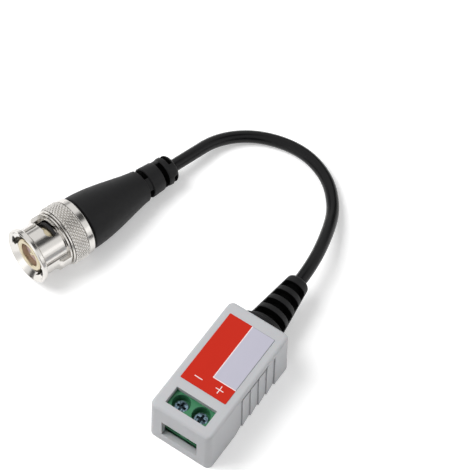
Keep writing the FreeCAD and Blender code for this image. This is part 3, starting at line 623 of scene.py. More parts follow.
def grid_object(name: str, points: np.ndarray, crease: float) -> Object:
    """Make an object from a grid of points.

    Neighbours in both directions of the grid are joined by four-sided faces. Rows that
    repeat their first point, and rows drawn together at a pole, are merged afterwards.

    Args:
        name: The object's name.
        points: Array of rows by columns by 3.
        crease: Edges sharper than this angle in degrees stay sharp.

    Returns:
        The object, at the origin.
    """
    rows, columns = points.shape[:2]
    index = np.arange(rows * columns, dtype=np.int32).reshape(rows, columns)
    faces = np.stack([index[:-1, :-1], index[1:, :-1], index[1:, 1:], index[:-1, 1:]], axis=-1)
    mesh = bpy.data.meshes.new(name)
    mesh.from_pydata(points.reshape(-1, 3), [], faces.reshape(-1, 4))
    body = bmesh.new()
    body.from_mesh(mesh)
    bmesh.ops.remove_doubles(body, verts=body.verts, dist=GRID_MERGE)
    bmesh.ops.dissolve_degenerate(body, edges=body.edges, dist=GRID_SLIVER)
    bmesh.ops.recalc_face_normals(body, faces=body.faces)
    body.to_mesh(mesh)
    body.free()
    smooth(mesh, crease)
    return link(bpy.data.objects.new(name, mesh))


@dataclass(frozen=True)
class Axis:
    """An axis that round pieces stand on: a start, a heading and a tilt, in degrees."""

    start: Place
    yaw: float = 0.0
    tilt: float = 0.0

    def matrix(self) -> np.ndarray:
        """Give the turn from the axis's own frame, X along it, to the part's.

        Returns:
            A 3 by 3 matrix.
        """
        cos_yaw, sin_yaw = math.cos(math.radians(self.yaw)), math.sin(math.radians(self.yaw))
        cos_tilt, sin_tilt = math.cos(math.radians(self.tilt)), math.sin(math.radians(self.tilt))
        about_z = np.array([[cos_yaw, -sin_yaw, 0], [sin_yaw, cos_yaw, 0], [0, 0, 1]])
        about_y = np.array([[cos_tilt, 0, sin_tilt], [0, 1, 0], [-sin_tilt, 0, cos_tilt]])
        return about_z @ about_y

    def placed(self, along: np.ndarray, radius: np.ndarray, angle: np.ndarray) -> np.ndarray:
        """Place cylindrical coordinates about the axis.

        A point is start + along * axis + radius * (cos(angle) * up - sin(angle) * side).

        Args:
            along: Distances along the axis, in millimetres.
            radius: Distances from it, in millimetres.
            angle: Angles from the axis's up side, in radians.

        Returns:
            Points in metres in the part's frame.
        """
        along, radius, angle = np.broadcast_arrays(along, radius, angle)
        own = np.stack([along, -radius * np.sin(angle), radius * np.cos(angle)], axis=-1) * MM
        return own @ self.matrix().T + np.array(self.start)

    def own(self, points: np.ndarray) -> np.ndarray:
        """Give points of the part's frame in the axis's own frame, in millimetres."""
        return (points - np.array(self.start)) @ self.matrix() / MM


PLUG = Axis(start=(0.57 * MM, 52.84 * MM, 8.30016 * MM), yaw=-15.57, tilt=5.15)
RELIEF = Axis(start=(15.3813 * MM, 0.0, 6.8 * MM))


@dataclass
class Skin:
    """A smooth copy of a CAD node, with its edges rounded and its own finish.

    edge is the rounding in millimetres. Edges sharper than crease, in degrees, get it.
    """

    node: str
    slot: Slot
    edge: float = 0.08
    crease: float = 28.0

    def build(self, frame: dict, body: str, material: Material) -> Object:
        """Copy the node, merge its triangles into faces and round its edges.

        Args:
            frame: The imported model.
            body: The body it rides on.
            material: Its material.

        Returns:
            The piece, which stands for the node.
        """
        mesh = frame["nodes"][self.node].data.copy()
        mesh.name = self.node + "_skin"
        merged = bmesh.new()
        merged.from_mesh(mesh)
        bmesh.ops.remove_doubles(merged, verts=merged.verts, dist=SKIN_MERGE)
        bmesh.ops.dissolve_limit(merged, angle_limit=math.radians(FLAT_ANGLE), verts=merged.verts,
                                 edges=merged.edges)
        merged.to_mesh(mesh)
        merged.free()
        self.reshape(mesh)
        mesh.materials.clear()
        mesh.materials.append(material)
        smooth(mesh, self.crease)
        piece = link(bpy.data.objects.new(self.node + "_skin", mesh))
        bevel = piece.modifiers.new("edges", "BEVEL")
        bevel.width = self.edge * MM
        bevel.segments = 2
        bevel.limit_method = "ANGLE"
        bevel.angle_limit = math.radians(self.crease)
        bevel.use_clamp_overlap = False
        bevel.harden_normals = True
        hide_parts(self.node)
        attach(piece, body)
        return piece

    def reshape(self, mesh: Mesh) -> None:
        """Change the copied mesh; a plain skin keeps its shape."""


@dataclass
class NutSkin(Skin):
    """The coupling nut's skin, turned down where the knurled ring sits on it.

    Points less than reach below the knurl's radius are the knurl's. All are millimetres.
    """

    knurl_radius: float = 7.2
    seat_radius: float = 6.85
    reach: float = 0.03

    def reshape(self, mesh: Mesh) -> None:
        """Draw the points at the knurl's radius in to the seat's radius.

        Args:
            mesh: The copied mesh.
        """
        own = PLUG.own(points_of(mesh))
        radius = np.hypot(own[:, 1], own[:, 2])
        on_knurl = radius > self.knurl_radius - self.reach
        angle = np.arctan2(-own[:, 1], own[:, 2])
        moved = PLUG.placed(own[:, 0], np.where(on_knurl, self.seat_radius, radius), angle)
        mesh.vertices.foreach_set("co", moved.ravel())


@dataclass
class KnurledRing:
    """The diamond knurl of the coupling nut, cut by two crossing sets of helical grooves.

    Its lengths are millimetres, start and end measured along the plug.
    """

    start: float = 8.98
    end: float = 12.58
    radius: float = 7.2
    depth: float = 0.3
    seat: float = 6.8
    chamfer: float = 0.22
    diamonds: int = 48
    steepness: float = 1.9
    columns_per_diamond: int = 10
    rows: int = 60
    crease: float = 50.0

    def build(self, material: Material) -> Object:
        """Build the ring.

        Each set of grooves is a wave that is 0 in a groove and 1 half way to the next. A
        diamond's height is the smaller wave, steepened and cut off flat at 1. Where it is
        0 the surface lies the knurl's depth below the radius.

        Args:
            material: Its material.

        Returns:
            The piece, riding on the nut.
        """
        columns = self.diamonds * self.columns_per_diamond
        angle = np.linspace(0, FULL_TURN, columns + 1)
        along = np.linspace(self.start, self.end, self.rows)
        pitch = FULL_TURN * self.radius / self.diamonds
        turns = self.diamonds * angle[None, :] / FULL_TURN
        climb = along[:, None] / pitch
        rising = 1 - np.abs(2 * ((turns + climb) % 1.0) - 1)
        falling = 1 - np.abs(2 * ((turns - climb) % 1.0) - 1)
        diamond = np.clip(self.steepness * np.minimum(rising, falling), 0, 1)
        from_end = np.minimum(along - self.start, self.end - along)[:, None]
        edge = np.clip(self.chamfer - from_end, 0, None)
        radius = self.radius - edge - self.depth * (1 - diamond)
        seat_row = np.full(columns + 1, self.seat)
        path_radius = np.vstack([seat_row, radius, seat_row, seat_row])
        path_along = np.concatenate([[self.start], along, [self.end], [self.start]])[:, None]
        points = PLUG.placed(path_along, path_radius, angle[None, :])
        ring = grid_object("knurled_ring", points, self.crease)
        ring.data.materials.append(material)
        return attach(ring, "nut")


@dataclass
class SlotRow:
    """One level of slots round a moulding: two opposite ones, between webs.

    Sizes are millimetres along the axis, and degrees about it.
    """

    start: float
    width: float
    centre: float
    span: float

    def centres(self) -> Pair:
        """Give the middle angles of its two slots, in radians."""
        return math.radians(self.centre), math.radians(self.centre + 180.0)


@dataclass
class SlottedMoulding:
    """A round rubber moulding, slotted as the real one is so that it bends with the lead; this piece stays
    rigid.

    profile is the outline as (along, radius) points, pole to pole. core is the radius of
    the slots' floors, edge the rounding of their rims and wall the width of their walls.
    steps are the points across a rounded rim as shares of it, and angles are rounded to
    digits so that equal ones merge. Lengths are millimetres.
    """

    name: str
    node: str
    axis: Axis
    profile: list[Pair]
    slots: list[SlotRow]
    core: float = 1.7
    edge: float = 0.14
    wall: float = 0.03
    near_core: float = 0.01
    steps: tuple[float, ...] = (-1.0, -0.7, -0.4, -0.15, 0.0)
    columns: int = 96
    digits: int = 6
    crease: float = 40.0

    def depths(self) -> np.ndarray:
        """Give the distances inside a slot's rim at which the surface bends."""
        return np.append(self.edge * np.array(self.steps), self.wall)

    def stations(self) -> np.ndarray:
        """Give the outline with more points beside every slot's rims.

        Returns:
            Array of (along, radius) rows.
        """
        outline = np.array(self.profile)
        extra = []
        for row in self.slots:
            extra.extend(row.start + self.depths())
            extra.extend(row.start + row.width - self.depths())
        rows = [outline[0]]
        for first, last in zip(outline[:-1], outline[1:]):
            for station in sorted(s for s in extra if first[0] < s < last[0]):
                share = (station - first[0]) / (last[0] - first[0])
                rows.append(first + share * (last - first))
            rows.append(last)
        return np.array(rows)

    def angles(self) -> np.ndarray:
        """Give the angles about the axis, with more beside every slot's ends.

        Returns:
            Rising angles in radians.
        """
        extra = []
        for row in self.slots:
            half = math.radians(row.span / 2)
            for centre in row.centres():
                extra.extend((centre + half - self.depths() / self.core) % FULL_TURN)
                extra.extend((centre - half + self.depths() / self.core) % FULL_TURN)
        even = np.linspace(0, FULL_TURN, self.columns + 1)
        return np.unique(np.round(np.concatenate([even, extra]), self.digits))

    def build(self, material: Material, shaded_floors: Material) -> Object:
        """Build the moulding.

        d is a point's distance inside the nearest slot, along the axis or about it,
        whichever is less, and negative outside. Past half the wall's width the radius is
        the core's. Between minus the edge rounding and 0 it falls by a quarter circle,
        edge - sqrt(edge^2 - (d + edge)^2).

        Args:
            material: The skin's material.
            shaded_floors: The material of the slots' floors and walls, a darker copy of the moulding that
                paints shade there.

        Returns:
            The piece, which stands for its node.
        """
        rows = self.stations()
        angle = self.angles()
        along, radius = rows[:, :1], np.repeat(rows[:, 1:], len(angle), axis=1)
        inside = np.full(radius.shape, -np.inf)
        for row in self.slots:
            from_ends = np.minimum(along - row.start, row.start + row.width - along)
            for centre in row.centres():
                turn = (angle - centre + math.pi) % FULL_TURN - math.pi
                from_sides = (math.radians(row.span / 2) - np.abs(turn))[None, :] * self.core
                inside = np.maximum(inside, np.minimum(from_ends, from_sides))
        lap = np.clip(inside + self.edge, 0, self.edge)
        rounding = self.edge - np.sqrt(np.maximum(self.edge ** 2 - lap ** 2, 0))
        floor = np.minimum(radius, self.core)
        radius = np.where(inside > self.wall / 2, floor, np.maximum(radius - rounding, 0))
        moulding = grid_object(self.name, self.axis.placed(along, radius, angle[None, :]), self.crease)
        moulding.data.materials.append(material)
        # The slots' floors and walls get the darker copy: painted shade
        moulding.data.materials.append(shaded_floors)
        self.mark_shaded_floors(moulding.data)
        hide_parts(self.node)
        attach(moulding, "housing")
        return moulding

    def mark_shaded_floors(self, mesh: Mesh) -> None:
        """Give the second material, the painted shade, to the faces that reach the core's radius.

        Args:
            mesh: The moulding's mesh.
        """
        own = self.axis.own(points_of(mesh))
        at_core = np.abs(np.hypot(own[:, 1], own[:, 2]) - self.core) < self.near_core
        corners = np.empty(len(mesh.loops), dtype=np.int32)
        mesh.loops.foreach_get("vertex_index", corners)
        starts = np.empty(len(mesh.polygons), dtype=np.int32)
        mesh.polygons.foreach_get("loop_start", starts)
        shaded_floors = np.logical_or.reduceat(at_core[corners], starts)
        mesh.polygons.foreach_set("material_index", shaded_floors.astype(np.int32))


def arc(along: float, radius: float, rounding: float, start: float, end: float, count: int = 6) -> list[Pair]:
    """Give points of an outline's rounded edge: its centre plus its radius times (cos, sin).

    Args:
        along: Where its centre lies along the axis.
        radius: How far its centre lies from the axis.
        rounding: Its own radius.
        start: The angle in degrees that it starts at, from the axis's heading.
        end: The angle that it ends at.
        count: How many points it has.

    Returns:
        The points.
    """
    return [(along + rounding * math.cos(turn), radius + rounding * math.sin(turn))
            for turn in np.radians(np.linspace(start, end, count))]


def bezier(poles: list[Pair], count: int) -> list[Pair]:
    """Give points of a cubic Bezier curve, its poles weighted by Bernstein polynomials.

    Args:
        poles: Its four poles.
        count: How many points it has.

    Returns:
        The points.
    """
    t = np.linspace(0, 1, count)[:, None]
    weights = np.hstack([(1 - t) ** 3, 3 * t * (1 - t) ** 2, 3 * t ** 2 * (1 - t), t ** 3])
    return [tuple(point) for point in weights @ np.array(poles)]


def relief_moulding() -> SlottedMoulding:
    """Give the housing's strain relief: plate, root, slotted taper and rounded end.

    Returns:
        The moulding, its outline in millimetres from the housing's end wall.
    """
    # Radii, then stations along the axis, then roundings
    spigot, plate, root, body, end = 3.4, 6.0, 4.6, 4.2, 2.72
    inner, wall, thick, taper, tip = -0.6, 0.02, 1.0, 3.4, 14.6
    rim, fillet, nose = 0.2, 0.25, 1.0
    outline = [(inner, 0.0), (inner, spigot), (wall, spigot), (wall, plate - rim)]
    outline += arc(rim, plate - rim, rim, 170, 90)
    outline += arc(thick - fillet, plate - fillet, fillet, 90, 0)
    outline += [(thick, root + fillet)]
    outline += arc(thick + fillet, root + fillet, fillet, 180, 270, 5)
    outline += [(1.6, root - 0.06), (taper, body)]
    outline += [(taper + (tip - taper) * share, body + (end - body) * share)
                for share in np.linspace(0.1, 1, 10)]
    outline += arc(tip, end - nose, nose, 84, 0, 8)
    outline += [(tip + nose, 0.0)]
    rows = [SlotRow(start=2.3 + 3.1 * index, width=1.8, centre=18.0, span=140.0) for index in range(4)]
    return SlottedMoulding("strain_relief_moulding", "strain_relief", RELIEF, outline, rows)


def boot_moulding() -> SlottedMoulding:
    """Give the plug's boot: swelling body, groove, two rings and slots in turned pairs.

    Returns:
        The moulding, its outline in millimetres from the nut's lip.
    """
    # Where the slots start, then the angles of their middles and how far they reach
    first, second, third = 32.7, 37.5, 40.1
    turned, across, span = -47.5, 42.5, 125.0
    outline = [(15.4, 0.0), (15.4, 3.6), (14.8, 3.6), (14.8, 6.2)]
    outline += arc(15.2, 6.2, 0.4, 170, 90)
    outline += bezier([(15.2, 6.6), (21.5, 6.6), (28.5, 4.3), (32.5, 3.92)], 26)
    outline += arc(32.5, 3.72, 0.2, 80, 0, 4)
    outline += [(first, 3.45), (33.98, 3.45), (34.0, 3.6)]
    outline += arc(34.15, 3.6, 0.15, 170, 90, 4)
    outline += [(37.2, 3.57), (37.42, 3.5), (second, 3.35), (38.79, 3.35), (38.8, 3.25)]
    outline += bezier([(38.85, 3.3), (39.1, 3.5), (39.6, 3.5), (40.05, 3.5)], 6)
    outline += bezier([(40.2, 3.5), (41.4, 3.5), (41.85, 2.9), (41.9, 1.8)], 12)
    outline += [(41.9, 0.0)]
    rows = [SlotRow(first, 1.3, turned, span), SlotRow(second, 1.3, across, span),
            SlotRow(third, 0.9, turned, span)]
    return SlottedMoulding("plug_boot_moulding", "plug_boot", PLUG, outline, rows)


@dataclass
class Lead:
    """The coaxial lead, one smooth curve from the strain relief to the boot.

    route is the poles of its centre line, in metres.
    """

    radius: float = 1.5 * MM
    round_steps: int = 8
    length_steps: int = 24
    route: tuple[Place, ...] = (
        (0.03098, 0.0, 0.0068), (0.03638, 0.0, 0.0068), (0.0464, 0.0023, 0.0049),
        (0.0542, 0.0054, 0.0026), (0.06105, 0.0117, 0.00156), (0.0639, 0.0208, 0.00156),
        (0.0614, 0.0313, 0.00156), (0.0545, 0.0382, 0.0026), (0.045375, 0.040356, 0.004108),
        (0.04077, 0.041639, 0.004539))

    def build(self, material: Material, on_it: list[Object]) -> Object:
        """Args:
            material: Its material.
            on_it: Not used.

        Returns:
            The lead.
        """
        curve = bpy.data.curves.new("lead", "CURVE")
        curve.dimensions = "3D"
        curve.bevel_depth = self.radius
        curve.bevel_resolution = self.round_steps
        curve.resolution_u = self.length_steps
        curve.use_fill_caps = True
        spline = curve.splines.new("NURBS")
        spline.points.add(len(self.route) - 1)
        for point, place in zip(spline.points, self.route):
            point.co = (*place, 1.0)
        spline.order_u = 3
        spline.use_endpoint_u = True
        curve.materials.append(material)
        lead = link(bpy.data.objects.new("lead", curve))
        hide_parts("cable")
        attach(lead, "housing")
        return lead


@dataclass
class Sticker:
    """The label on the roof: a thin plate with rounded corners and a rounded rim.

    corner and lip are millimetres, and nudge keeps a quarter's first angle inside it.
    """

    corner: float = 0.2
    lip: float = 0.012
    columns: int = 64
    nudge: float = 1e-9
    crease: float = 30.0

    def build(self, material: Material) -> Object:
        """Build the sticker.

        Its outline is a rectangle with quarter circles at the corners, each a quarter
        turn about its corner's centre. Rows of the grid are that outline scaled from the
        centre to the rim, and then let down to the roof.

        Args:
            material: Its material.

        Returns:
            The piece, which stands for the label.
        """
        low, high = (np.array(corner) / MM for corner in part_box("label"))
        middle = (low[:2] + high[:2]) / 2
        half = (high[:2] - low[:2]) / 2 - self.corner
        turn = np.linspace(0, FULL_TURN, self.columns + 1)
        quadrant = np.floor(turn / (math.pi / 2) + self.nudge) % 4
        sign_x = np.where((quadrant == 0) | (quadrant == 3), 1.0, -1.0)
        sign_y = np.where(quadrant < 2, 1.0, -1.0)
        corners = np.stack([sign_x * half[0], sign_y * half[1]], axis=-1)
        circle = np.stack([np.cos(turn), np.sin(turn)], axis=-1)
        base, top, lip = low[2], high[2], self.lip
        rings = ((0.0, 0.0, top), (1.0, 9 * lip, top), (1.0, 3 * lip, top), (1.0, lip, top - lip),
                 (1.0, 0.0, top - 3 * lip), (1.0, 0.0, base), (0.0, 0.0, base))
        rows = []
        for share, inset, height in rings:
            flat = middle + share * (corners + (self.corner - inset) * circle)
            rows.append(np.column_stack([flat, np.full(len(turn), height)]))
        sticker = grid_object("label_sticker", np.array(rows) * MM, self.crease)
        sticker.data.materials.append(material)
        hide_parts("label")
        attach(sticker, "housing")
        return sticker


# Finishes, with linear colours

HOUSING_GREY = Moulded("housing grey", (0.47, 0.475, 0.49), pits=6000.0, depth=0.000012, tone=0.05,
                       specular=0.4, scatter=0.05)
TERMINAL_GREEN = Moulded("terminal green", (0.037, 0.18, 0.083), roughness=0.38, depth=0.000008, tone=0.1)
BLACK_MOULDING = Moulded("black moulding", (0.006, 0.006, 0.0065), roughness=0.55, swing=0.16,
                         pits=5200.0, tone=0.2, specular=0.25)
# A darker, duller copy of the black moulding for the slots' floors and walls: painted shade in the slots
SLOT_PAINTED_SHADE = Moulded("slot painted shade", (0.0015, 0.0015, 0.0015), roughness=0.85, tone=0.2, specular=0.04)
CABLE_JACKET = Moulded("cable jacket", (0.004, 0.004, 0.0045), roughness=0.24, pits=2500.0,
                       depth=0.000006, tone=0.15, specular=0.2)
INSULATOR_PINK = Moulded("insulator", (0.64, 0.47, 0.47), roughness=0.42, depth=0.000006, tone=0.08,
                         scatter=0.1)
GASKET_BLACK = Moulded("gasket", (0.006, 0.006, 0.007))
BOARD_GREEN = Moulded("solder mask", (0.01, 0.09, 0.035), roughness=0.3, tone=0.2, coat=0.4)
CAPACITOR_BLUE = Moulded("dipped ceramic", (0.02, 0.07, 0.32), roughness=0.25, tone=0.2, coat=0.5)
COMPONENT_BLACK = Moulded("component black", (0.012, 0.012, 0.013), roughness=0.35)
COAX_WHITE = Moulded("coax insulation", (0.70, 0.70, 0.66), roughness=0.4, scatter=0.2)
FERRITE = Moulded("ferrite", (0.03, 0.03, 0.032), roughness=0.55, pits=3000.0, tone=0.25)
NICKEL = Plated("bright nickel", (0.67, 0.65, 0.62), smudge=0.08)
SPRING_STEEL = Plated("spring steel", (0.50, 0.50, 0.52), roughness=0.3)
ZINC = Plated("zinc plate", (0.38, 0.46, 0.53), roughness=0.22, smudge=0.25)
SCREW_ZINC = PlatedScrew("screw zinc", (0.30, 0.44, 0.54), roughness=0.3, smudge=0.3, marks=900.0)
TINNED_BRASS = Plated("tinned brass", (0.66, 0.64, 0.58), roughness=0.28)
GOLD = Plated("gold plate", (0.55, 0.48, 0.335), roughness=0.24)
COPPER_WIRE = Plated("enamelled wire", (0.60, 0.20, 0.07), roughness=0.25)
LABEL_RED = (0.51, 0.022, 0.010)
LABEL_PALE = (0.47, 0.46, 0.54)
LABEL_LINE = (0.80, 0.70, 0.69)
LABEL_RIM = (0.30, 0.31, 0.34)
LABEL_FILM = PrintedFilm(
    "label film", LABEL_RED, roughness=0.42, swing=0.1, pits=3500.0, depth=0.000006, bump=0.4,
    tone=0.05, specular=0.15, fields=(
        PrintedField((-2.66 * MM, 12.4 * MM), (-5.7 * MM, 0.19 * MM), LABEL_LINE),
        PrintedField((-2.46 * MM, 12.4 * MM), (-5.7 * MM, -0.01 * MM), LABEL_RIM),
        PrintedField((-2.46 * MM, 12.24 * MM), (-5.54 * MM, -0.01 * MM), LABEL_PALE),
        PrintedField((-5.3 * MM, -3.34 * MM), (-2.8 * MM, -2.6 * MM), LABEL_LINE),
        PrintedField((-4.42 * MM, -4.22 * MM), (-3.68 * MM, -1.72 * MM), LABEL_LINE),
        PrintedField((-4.52 * MM, -4.32 * MM), (1.61 * MM, 3.61 * MM), LABEL_LINE),
    ))

# Roundings of the small pieces' edges, in millimetres
SMALL_EDGE = 0.06
FINE_EDGE = 0.05


@dataclass
class Housing:
    """The moulded box with its cover, label, terminals and everything on its board.

    shade_depth is how far below the top of a screw's head the painted shade starts, in millimetres.
    """

    edge: float = 0.1
    shade_depth: float = 0.08

    def build(self, frame: dict, groups: SharedGroups) -> None:
        """Dress the box and its terminals.

        Args:
            frame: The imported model.
            groups: The shared shader groups.
        """
        plastic = HOUSING_GREY.material(groups)
        for node in ("housing_shell", "base_cover"):
            report(Skin(node, Slot.HOUSING, self.edge).build(frame, "housing", plastic))
        report(Sticker().build(LABEL_FILM.material(groups)))
        green = TERMINAL_GREEN.material(groups)
        report(Skin("terminal_block", Slot.TERMINAL, SMALL_EDGE).build(frame, "housing", green))
        zinc = ZINC.material(groups)
        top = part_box("terminal_screw_plus")[1][2]
        # The screws' material has its passivation worn in patches, and painted shade below the heads' tops
        worn = replace(SCREW_ZINC, shaded_below=top - self.shade_depth * MM).material(groups)
        tinned = TINNED_BRASS.material(groups)
        for pole in ("plus", "minus"):
            report(Skin("terminal_screw_" + pole, Slot.ZINC, FINE_EDGE).build(frame, "screw_" + pole, worn))
            report(Skin("wire_cage_" + pole, Slot.ZINC, SMALL_EDGE).build(frame, "cage_" + pole, zinc))
            report(Skin("contact_" + pole, Slot.TINNED, FINE_EDGE).build(frame, "housing", tinned))
        plain = {"circuit_board": BOARD_GREEN, "ferrite_core": FERRITE, "choke_winding": COPPER_WIRE,
                 "capacitor": CAPACITOR_BLUE, "surge_diode": COMPONENT_BLACK,
                 "chip_resistors": COMPONENT_BLACK, "coax_core": COAX_WHITE, "shield_pigtail": COPPER_WIRE}
        for node, finish in plain.items():
            dress(frame["nodes"][node], finish.material(groups))


@dataclass
class Plug:
    """The bayonet plug: boot, nut with its knurl, and the mating face."""

    edge: float = 0.08

    def build(self, frame: dict, groups: SharedGroups) -> list[Object]:
        """Dress the plug.

        Args:
            frame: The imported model.
            groups: The shared shader groups.

        Returns:
            Every piece that goes with the lead.
        """
        nickel = NICKEL.material(groups)
        gold = GOLD.material(groups)
        pieces = [boot_moulding().build(BLACK_MOULDING.material(groups), SLOT_PAINTED_SHADE.material(groups)),
                  NutSkin("coupling_nut", Slot.NICKEL, self.edge).build(frame, "nut", nickel),
                  KnurledRing().build(nickel)]
        for node, slot, edge, material in (
                ("outer_contact", Slot.GOLD, SMALL_EDGE, gold),
                ("centre_pin", Slot.GOLD, FINE_EDGE, gold),
                ("insulator", Slot.INSULATOR, SMALL_EDGE, INSULATOR_PINK.material(groups)),
                ("plug_body", Slot.NICKEL, SMALL_EDGE, nickel),
                ("gasket", Slot.GASKET, SMALL_EDGE, GASKET_BLACK.material(groups))):
            pieces.append(Skin(node, slot, edge).build(frame, "housing", material))
        for piece in pieces:
            report(piece)
        steel = SPRING_STEEL.material(groups)
        white = COAX_WHITE.material(groups)
        for node, material in (("thrust_washer", nickel), ("retaining_ring", nickel),
                               ("crimp_ferrule", nickel), ("wave_washer", steel), ("coax_end", white)):
            dress(frame["nodes"][node], material)
            pieces.append(frame["nodes"][node])
        return pieces


def dress(node: Object, material: Material) -> None:
    """Give a carried-over node its material.

    Args:
        node: The node.
        material: The material.
    """
    node.data.materials.clear()
    node.data.materials.append(material)
    LOG.info("dressed %s with %s", node.name, material.name)


def report(piece: Object) -> None:
    """Log a finished piece."""
    LOG.info("built %s", piece.name)


def faced(obj: Object, place: Place, target: Vector) -> Object:
    """Stand an object at a place, with its own -Z towards a target.

    Args:
        obj: The object.
        place: Where it stands.
        target: What it faces.

    Returns:
        The object.
    """
    obj.location = place
    obj.rotation_euler = (target - Vector(place)).to_track_quat("-Z", "Y").to_euler()
    return obj


@dataclass(frozen=True)
class Lamp:
    """A soft lamp, left out of reflections. Sizes are metres, and place is its middle."""

    name: str
    place: Place
    size: Pair
    power: float

    def build(self, target: Vector) -> Object:
        """Build the lamp.

        Args:
            target: What it faces.

        Returns:
            The lamp.
        """
        lamp = bpy.data.lights.new(self.name, "AREA")
        lamp.shape = "RECTANGLE"
        lamp.size, lamp.size_y = self.size
        lamp.energy = self.power
        obj = link(bpy.data.objects.new(self.name, lamp))
        obj.visible_glossy = False
        return faced(obj, self.place, target)


@dataclass(frozen=True)
class Card:
    """A card that metal reflects, dark or glowing, fading out towards its rim.

    Sizes are metres, and place is its middle. Only a matt one changes the light on matt
    surfaces too. It fades from the share fade_from of the way to its rim.
    """

    name: str
    place: Place
    size: Pair
    glow: float = 0.0
    matt: bool = False
    black: float = 0.01
    fade_from: float = 0.3

    def build(self, target: Vector) -> Object:
        """Build the card.

        Args:
            target: What it faces.

        Returns:
            The card.
        """
        obj = rectangle(self.name, self.size, self.shade())
        obj.visible_camera = False
        obj.visible_shadow = self.matt
        obj.visible_diffuse = self.matt
        return faced(obj, self.place, target)

    def shade(self) -> Material:
        """Build the card's material, full in the middle and clear at the rim.

        Returns:
            The material.
        """
        material, tree, shader = blank_material(self.name)
        shader.inputs["Base Color"].default_value = (self.black, self.black, self.black, 1.0)
        shader.inputs["Emission Color"].default_value = WHITE
        shader.inputs["Emission Strength"].default_value = self.glow
        share = tree.nodes.new("ShaderNodeVectorMath")
        share.operation = "MULTIPLY"
        share.inputs[1].default_value = (2 / self.size[0], 2 / self.size[1], 0.0)
        tree.links.new(object_place(tree), share.inputs[0])
        reach = length_of(tree, share.outputs["Vector"])
        alpha = mapped(tree, reach, (self.fade_from, 1.0), (1.0, 0.0), "SMOOTHSTEP")
        tree.links.new(alpha, shader.inputs["Alpha"])
        return material


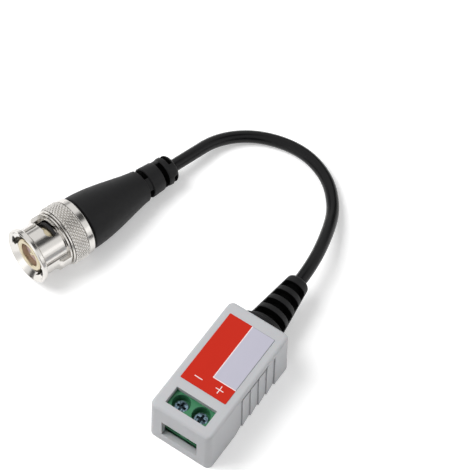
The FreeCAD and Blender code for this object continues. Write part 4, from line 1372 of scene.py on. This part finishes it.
@dataclass
class Studio:
    """Camera at the photograph's angle, pale floor and soft light.

    Lengths are metres, apart from the sensor's in millimetres and the photograph's focal
    length and width in pixels. The floor's glow goes from the first to the second lift
    between the two distances of lift_reach.
    """

    focal_pixels: float = 2022.0
    frame_pixels: float = 470.0
    sensor: float = 36.0
    clip_start: float = 0.01
    eye: Place = (-0.16780, -0.10840, 0.39467)
    right: Place = (0.56419, -0.82536, 0.02168)
    down: Place = (-0.69791, -0.49076, -0.52161)
    ahead: Place = (0.44116, 0.27915, -0.85291)
    centre: Place = (0.025, 0.025, 0.0)
    floor_size: Pair = (4.0, 4.0)
    floor_white: float = 0.86
    floor_roughness: float = 0.8
    floor_specular: float = 0.1
    lift_reach: Pair = (0.12, 0.6)
    lift: Pair = (0.3, 0.55)
    world_light: float = 0.45
    lamps: tuple[Lamp, ...] = (
        Lamp("key_lamp", (-0.12, 0.26, 0.46), (0.30, 0.30), 2.4),
        Lamp("fill_lamp", (0.16, -0.50, 0.24), (0.40, 0.16), 0.65),
    )
    cards: tuple[Card, ...] = (
        Card("side_glint", (0.16, -0.50, 0.25), (0.80, 0.30), 1.4),
        Card("mouth_glint", (-0.36, 0.17, 0.16), (0.34, 0.24), 1.6),
        Card("dark_card_above", (0.18, -0.06, 0.41), (0.40, 0.34)),
        Card("dark_card_lead_side", (0.42, 0.02, 0.12), (0.60, 0.28)),
        Card("dark_card_left", (-0.24, -0.26, 0.12), (0.72, 0.50), matt=True),
        Card("dark_card_behind_mouth", (-0.175, 0.406, 0.06), (0.30, 0.20)),
        Card("dark_card_back", (0.16, 0.42, 0.14), (0.44, 0.20)),
    )

    def build(self) -> None:
        """Build the camera, the floor, the world and the lamps."""
        self.camera()
        self.floor()
        self.world()
        for light in (*self.lamps, *self.cards):
            light.build(Vector(self.centre))
        bpy.context.scene.view_settings.view_transform = "Standard"

    def camera(self) -> None:
        """Build the camera: its columns are right, up and back."""
        data = bpy.data.cameras.new("camera")
        data.sensor_width = self.sensor
        data.lens = self.focal_pixels * self.sensor / self.frame_pixels
        data.clip_start = self.clip_start
        camera = link(bpy.data.objects.new("camera", data))
        columns = (Vector(self.right), -Vector(self.down), -Vector(self.ahead))
        camera.matrix_world = Matrix.Translation(Vector(self.eye)) @ Matrix(columns).transposed().to_4x4()
        bpy.context.scene.camera = camera

    def floor(self) -> None:
        """Build the floor: matt white that keeps the shadow.

        The camera and reflections see it lifted by a small glow, which grows with the
        distance from the object, so that the floor ends in white at the horizon.
        """
        material, tree, shader = blank_material("floor")
        shader.inputs["Base Color"].default_value = (self.floor_white,) * 3 + (1.0,)
        shader.inputs["Roughness"].default_value = self.floor_roughness
        shader.inputs["Specular IOR Level"].default_value = self.floor_specular
        lift = mapped(tree, length_of(tree, object_place(tree)), self.lift_reach, self.lift)
        shader.inputs["Emission Color"].default_value = WHITE
        tree.links.new(math_node(tree, "MULTIPLY", self.seen(tree), lift), shader.inputs["Emission Strength"])
        floor = rectangle("floor", self.floor_size, material)

    @staticmethod
    def seen(tree: NodeTree) -> NodeSocket:
        """Tell rays that are seen from light on the object.

        Args:
            tree: The tree it goes into.

        Returns:
            1 for camera, glossy and transmission rays, and 0 for the others.
        """
        path = tree.nodes.new("ShaderNodeLightPath")
        seen = math_node(tree, "MAXIMUM", path.outputs["Is Camera Ray"], path.outputs["Is Glossy Ray"])
        return math_node(tree, "MAXIMUM", seen, path.outputs["Is Transmission Ray"])

    def world(self) -> None:
        """Build the world: white to the camera and in reflections, softer as light."""
        world = bpy.data.worlds.new("studio")
        bpy.context.scene.world = world
        world.use_nodes = True
        tree = world.node_tree
        background = tree.nodes["Background"]
        background.inputs["Color"].default_value = WHITE
        strength = mapped(tree, self.seen(tree), (0.0, 1.0), (self.world_light, 1.0))
        tree.links.new(strength, background.inputs["Strength"])


def main() -> None:
    """Build the studio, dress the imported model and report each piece."""
    logging.basicConfig(level=logging.INFO, format="%(message)s")
    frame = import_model()
    groups = SharedGroups()
    Studio().build()
    Housing().build(frame, groups)
    on_lead = Plug().build(frame, groups)
    relief = relief_moulding().build(BLACK_MOULDING.material(groups), SLOT_PAINTED_SHADE.material(groups))
    report(relief)
    report(Lead().build(CABLE_JACKET.material(groups), [relief, *on_lead]))


if __name__ == "__main__":
    main()
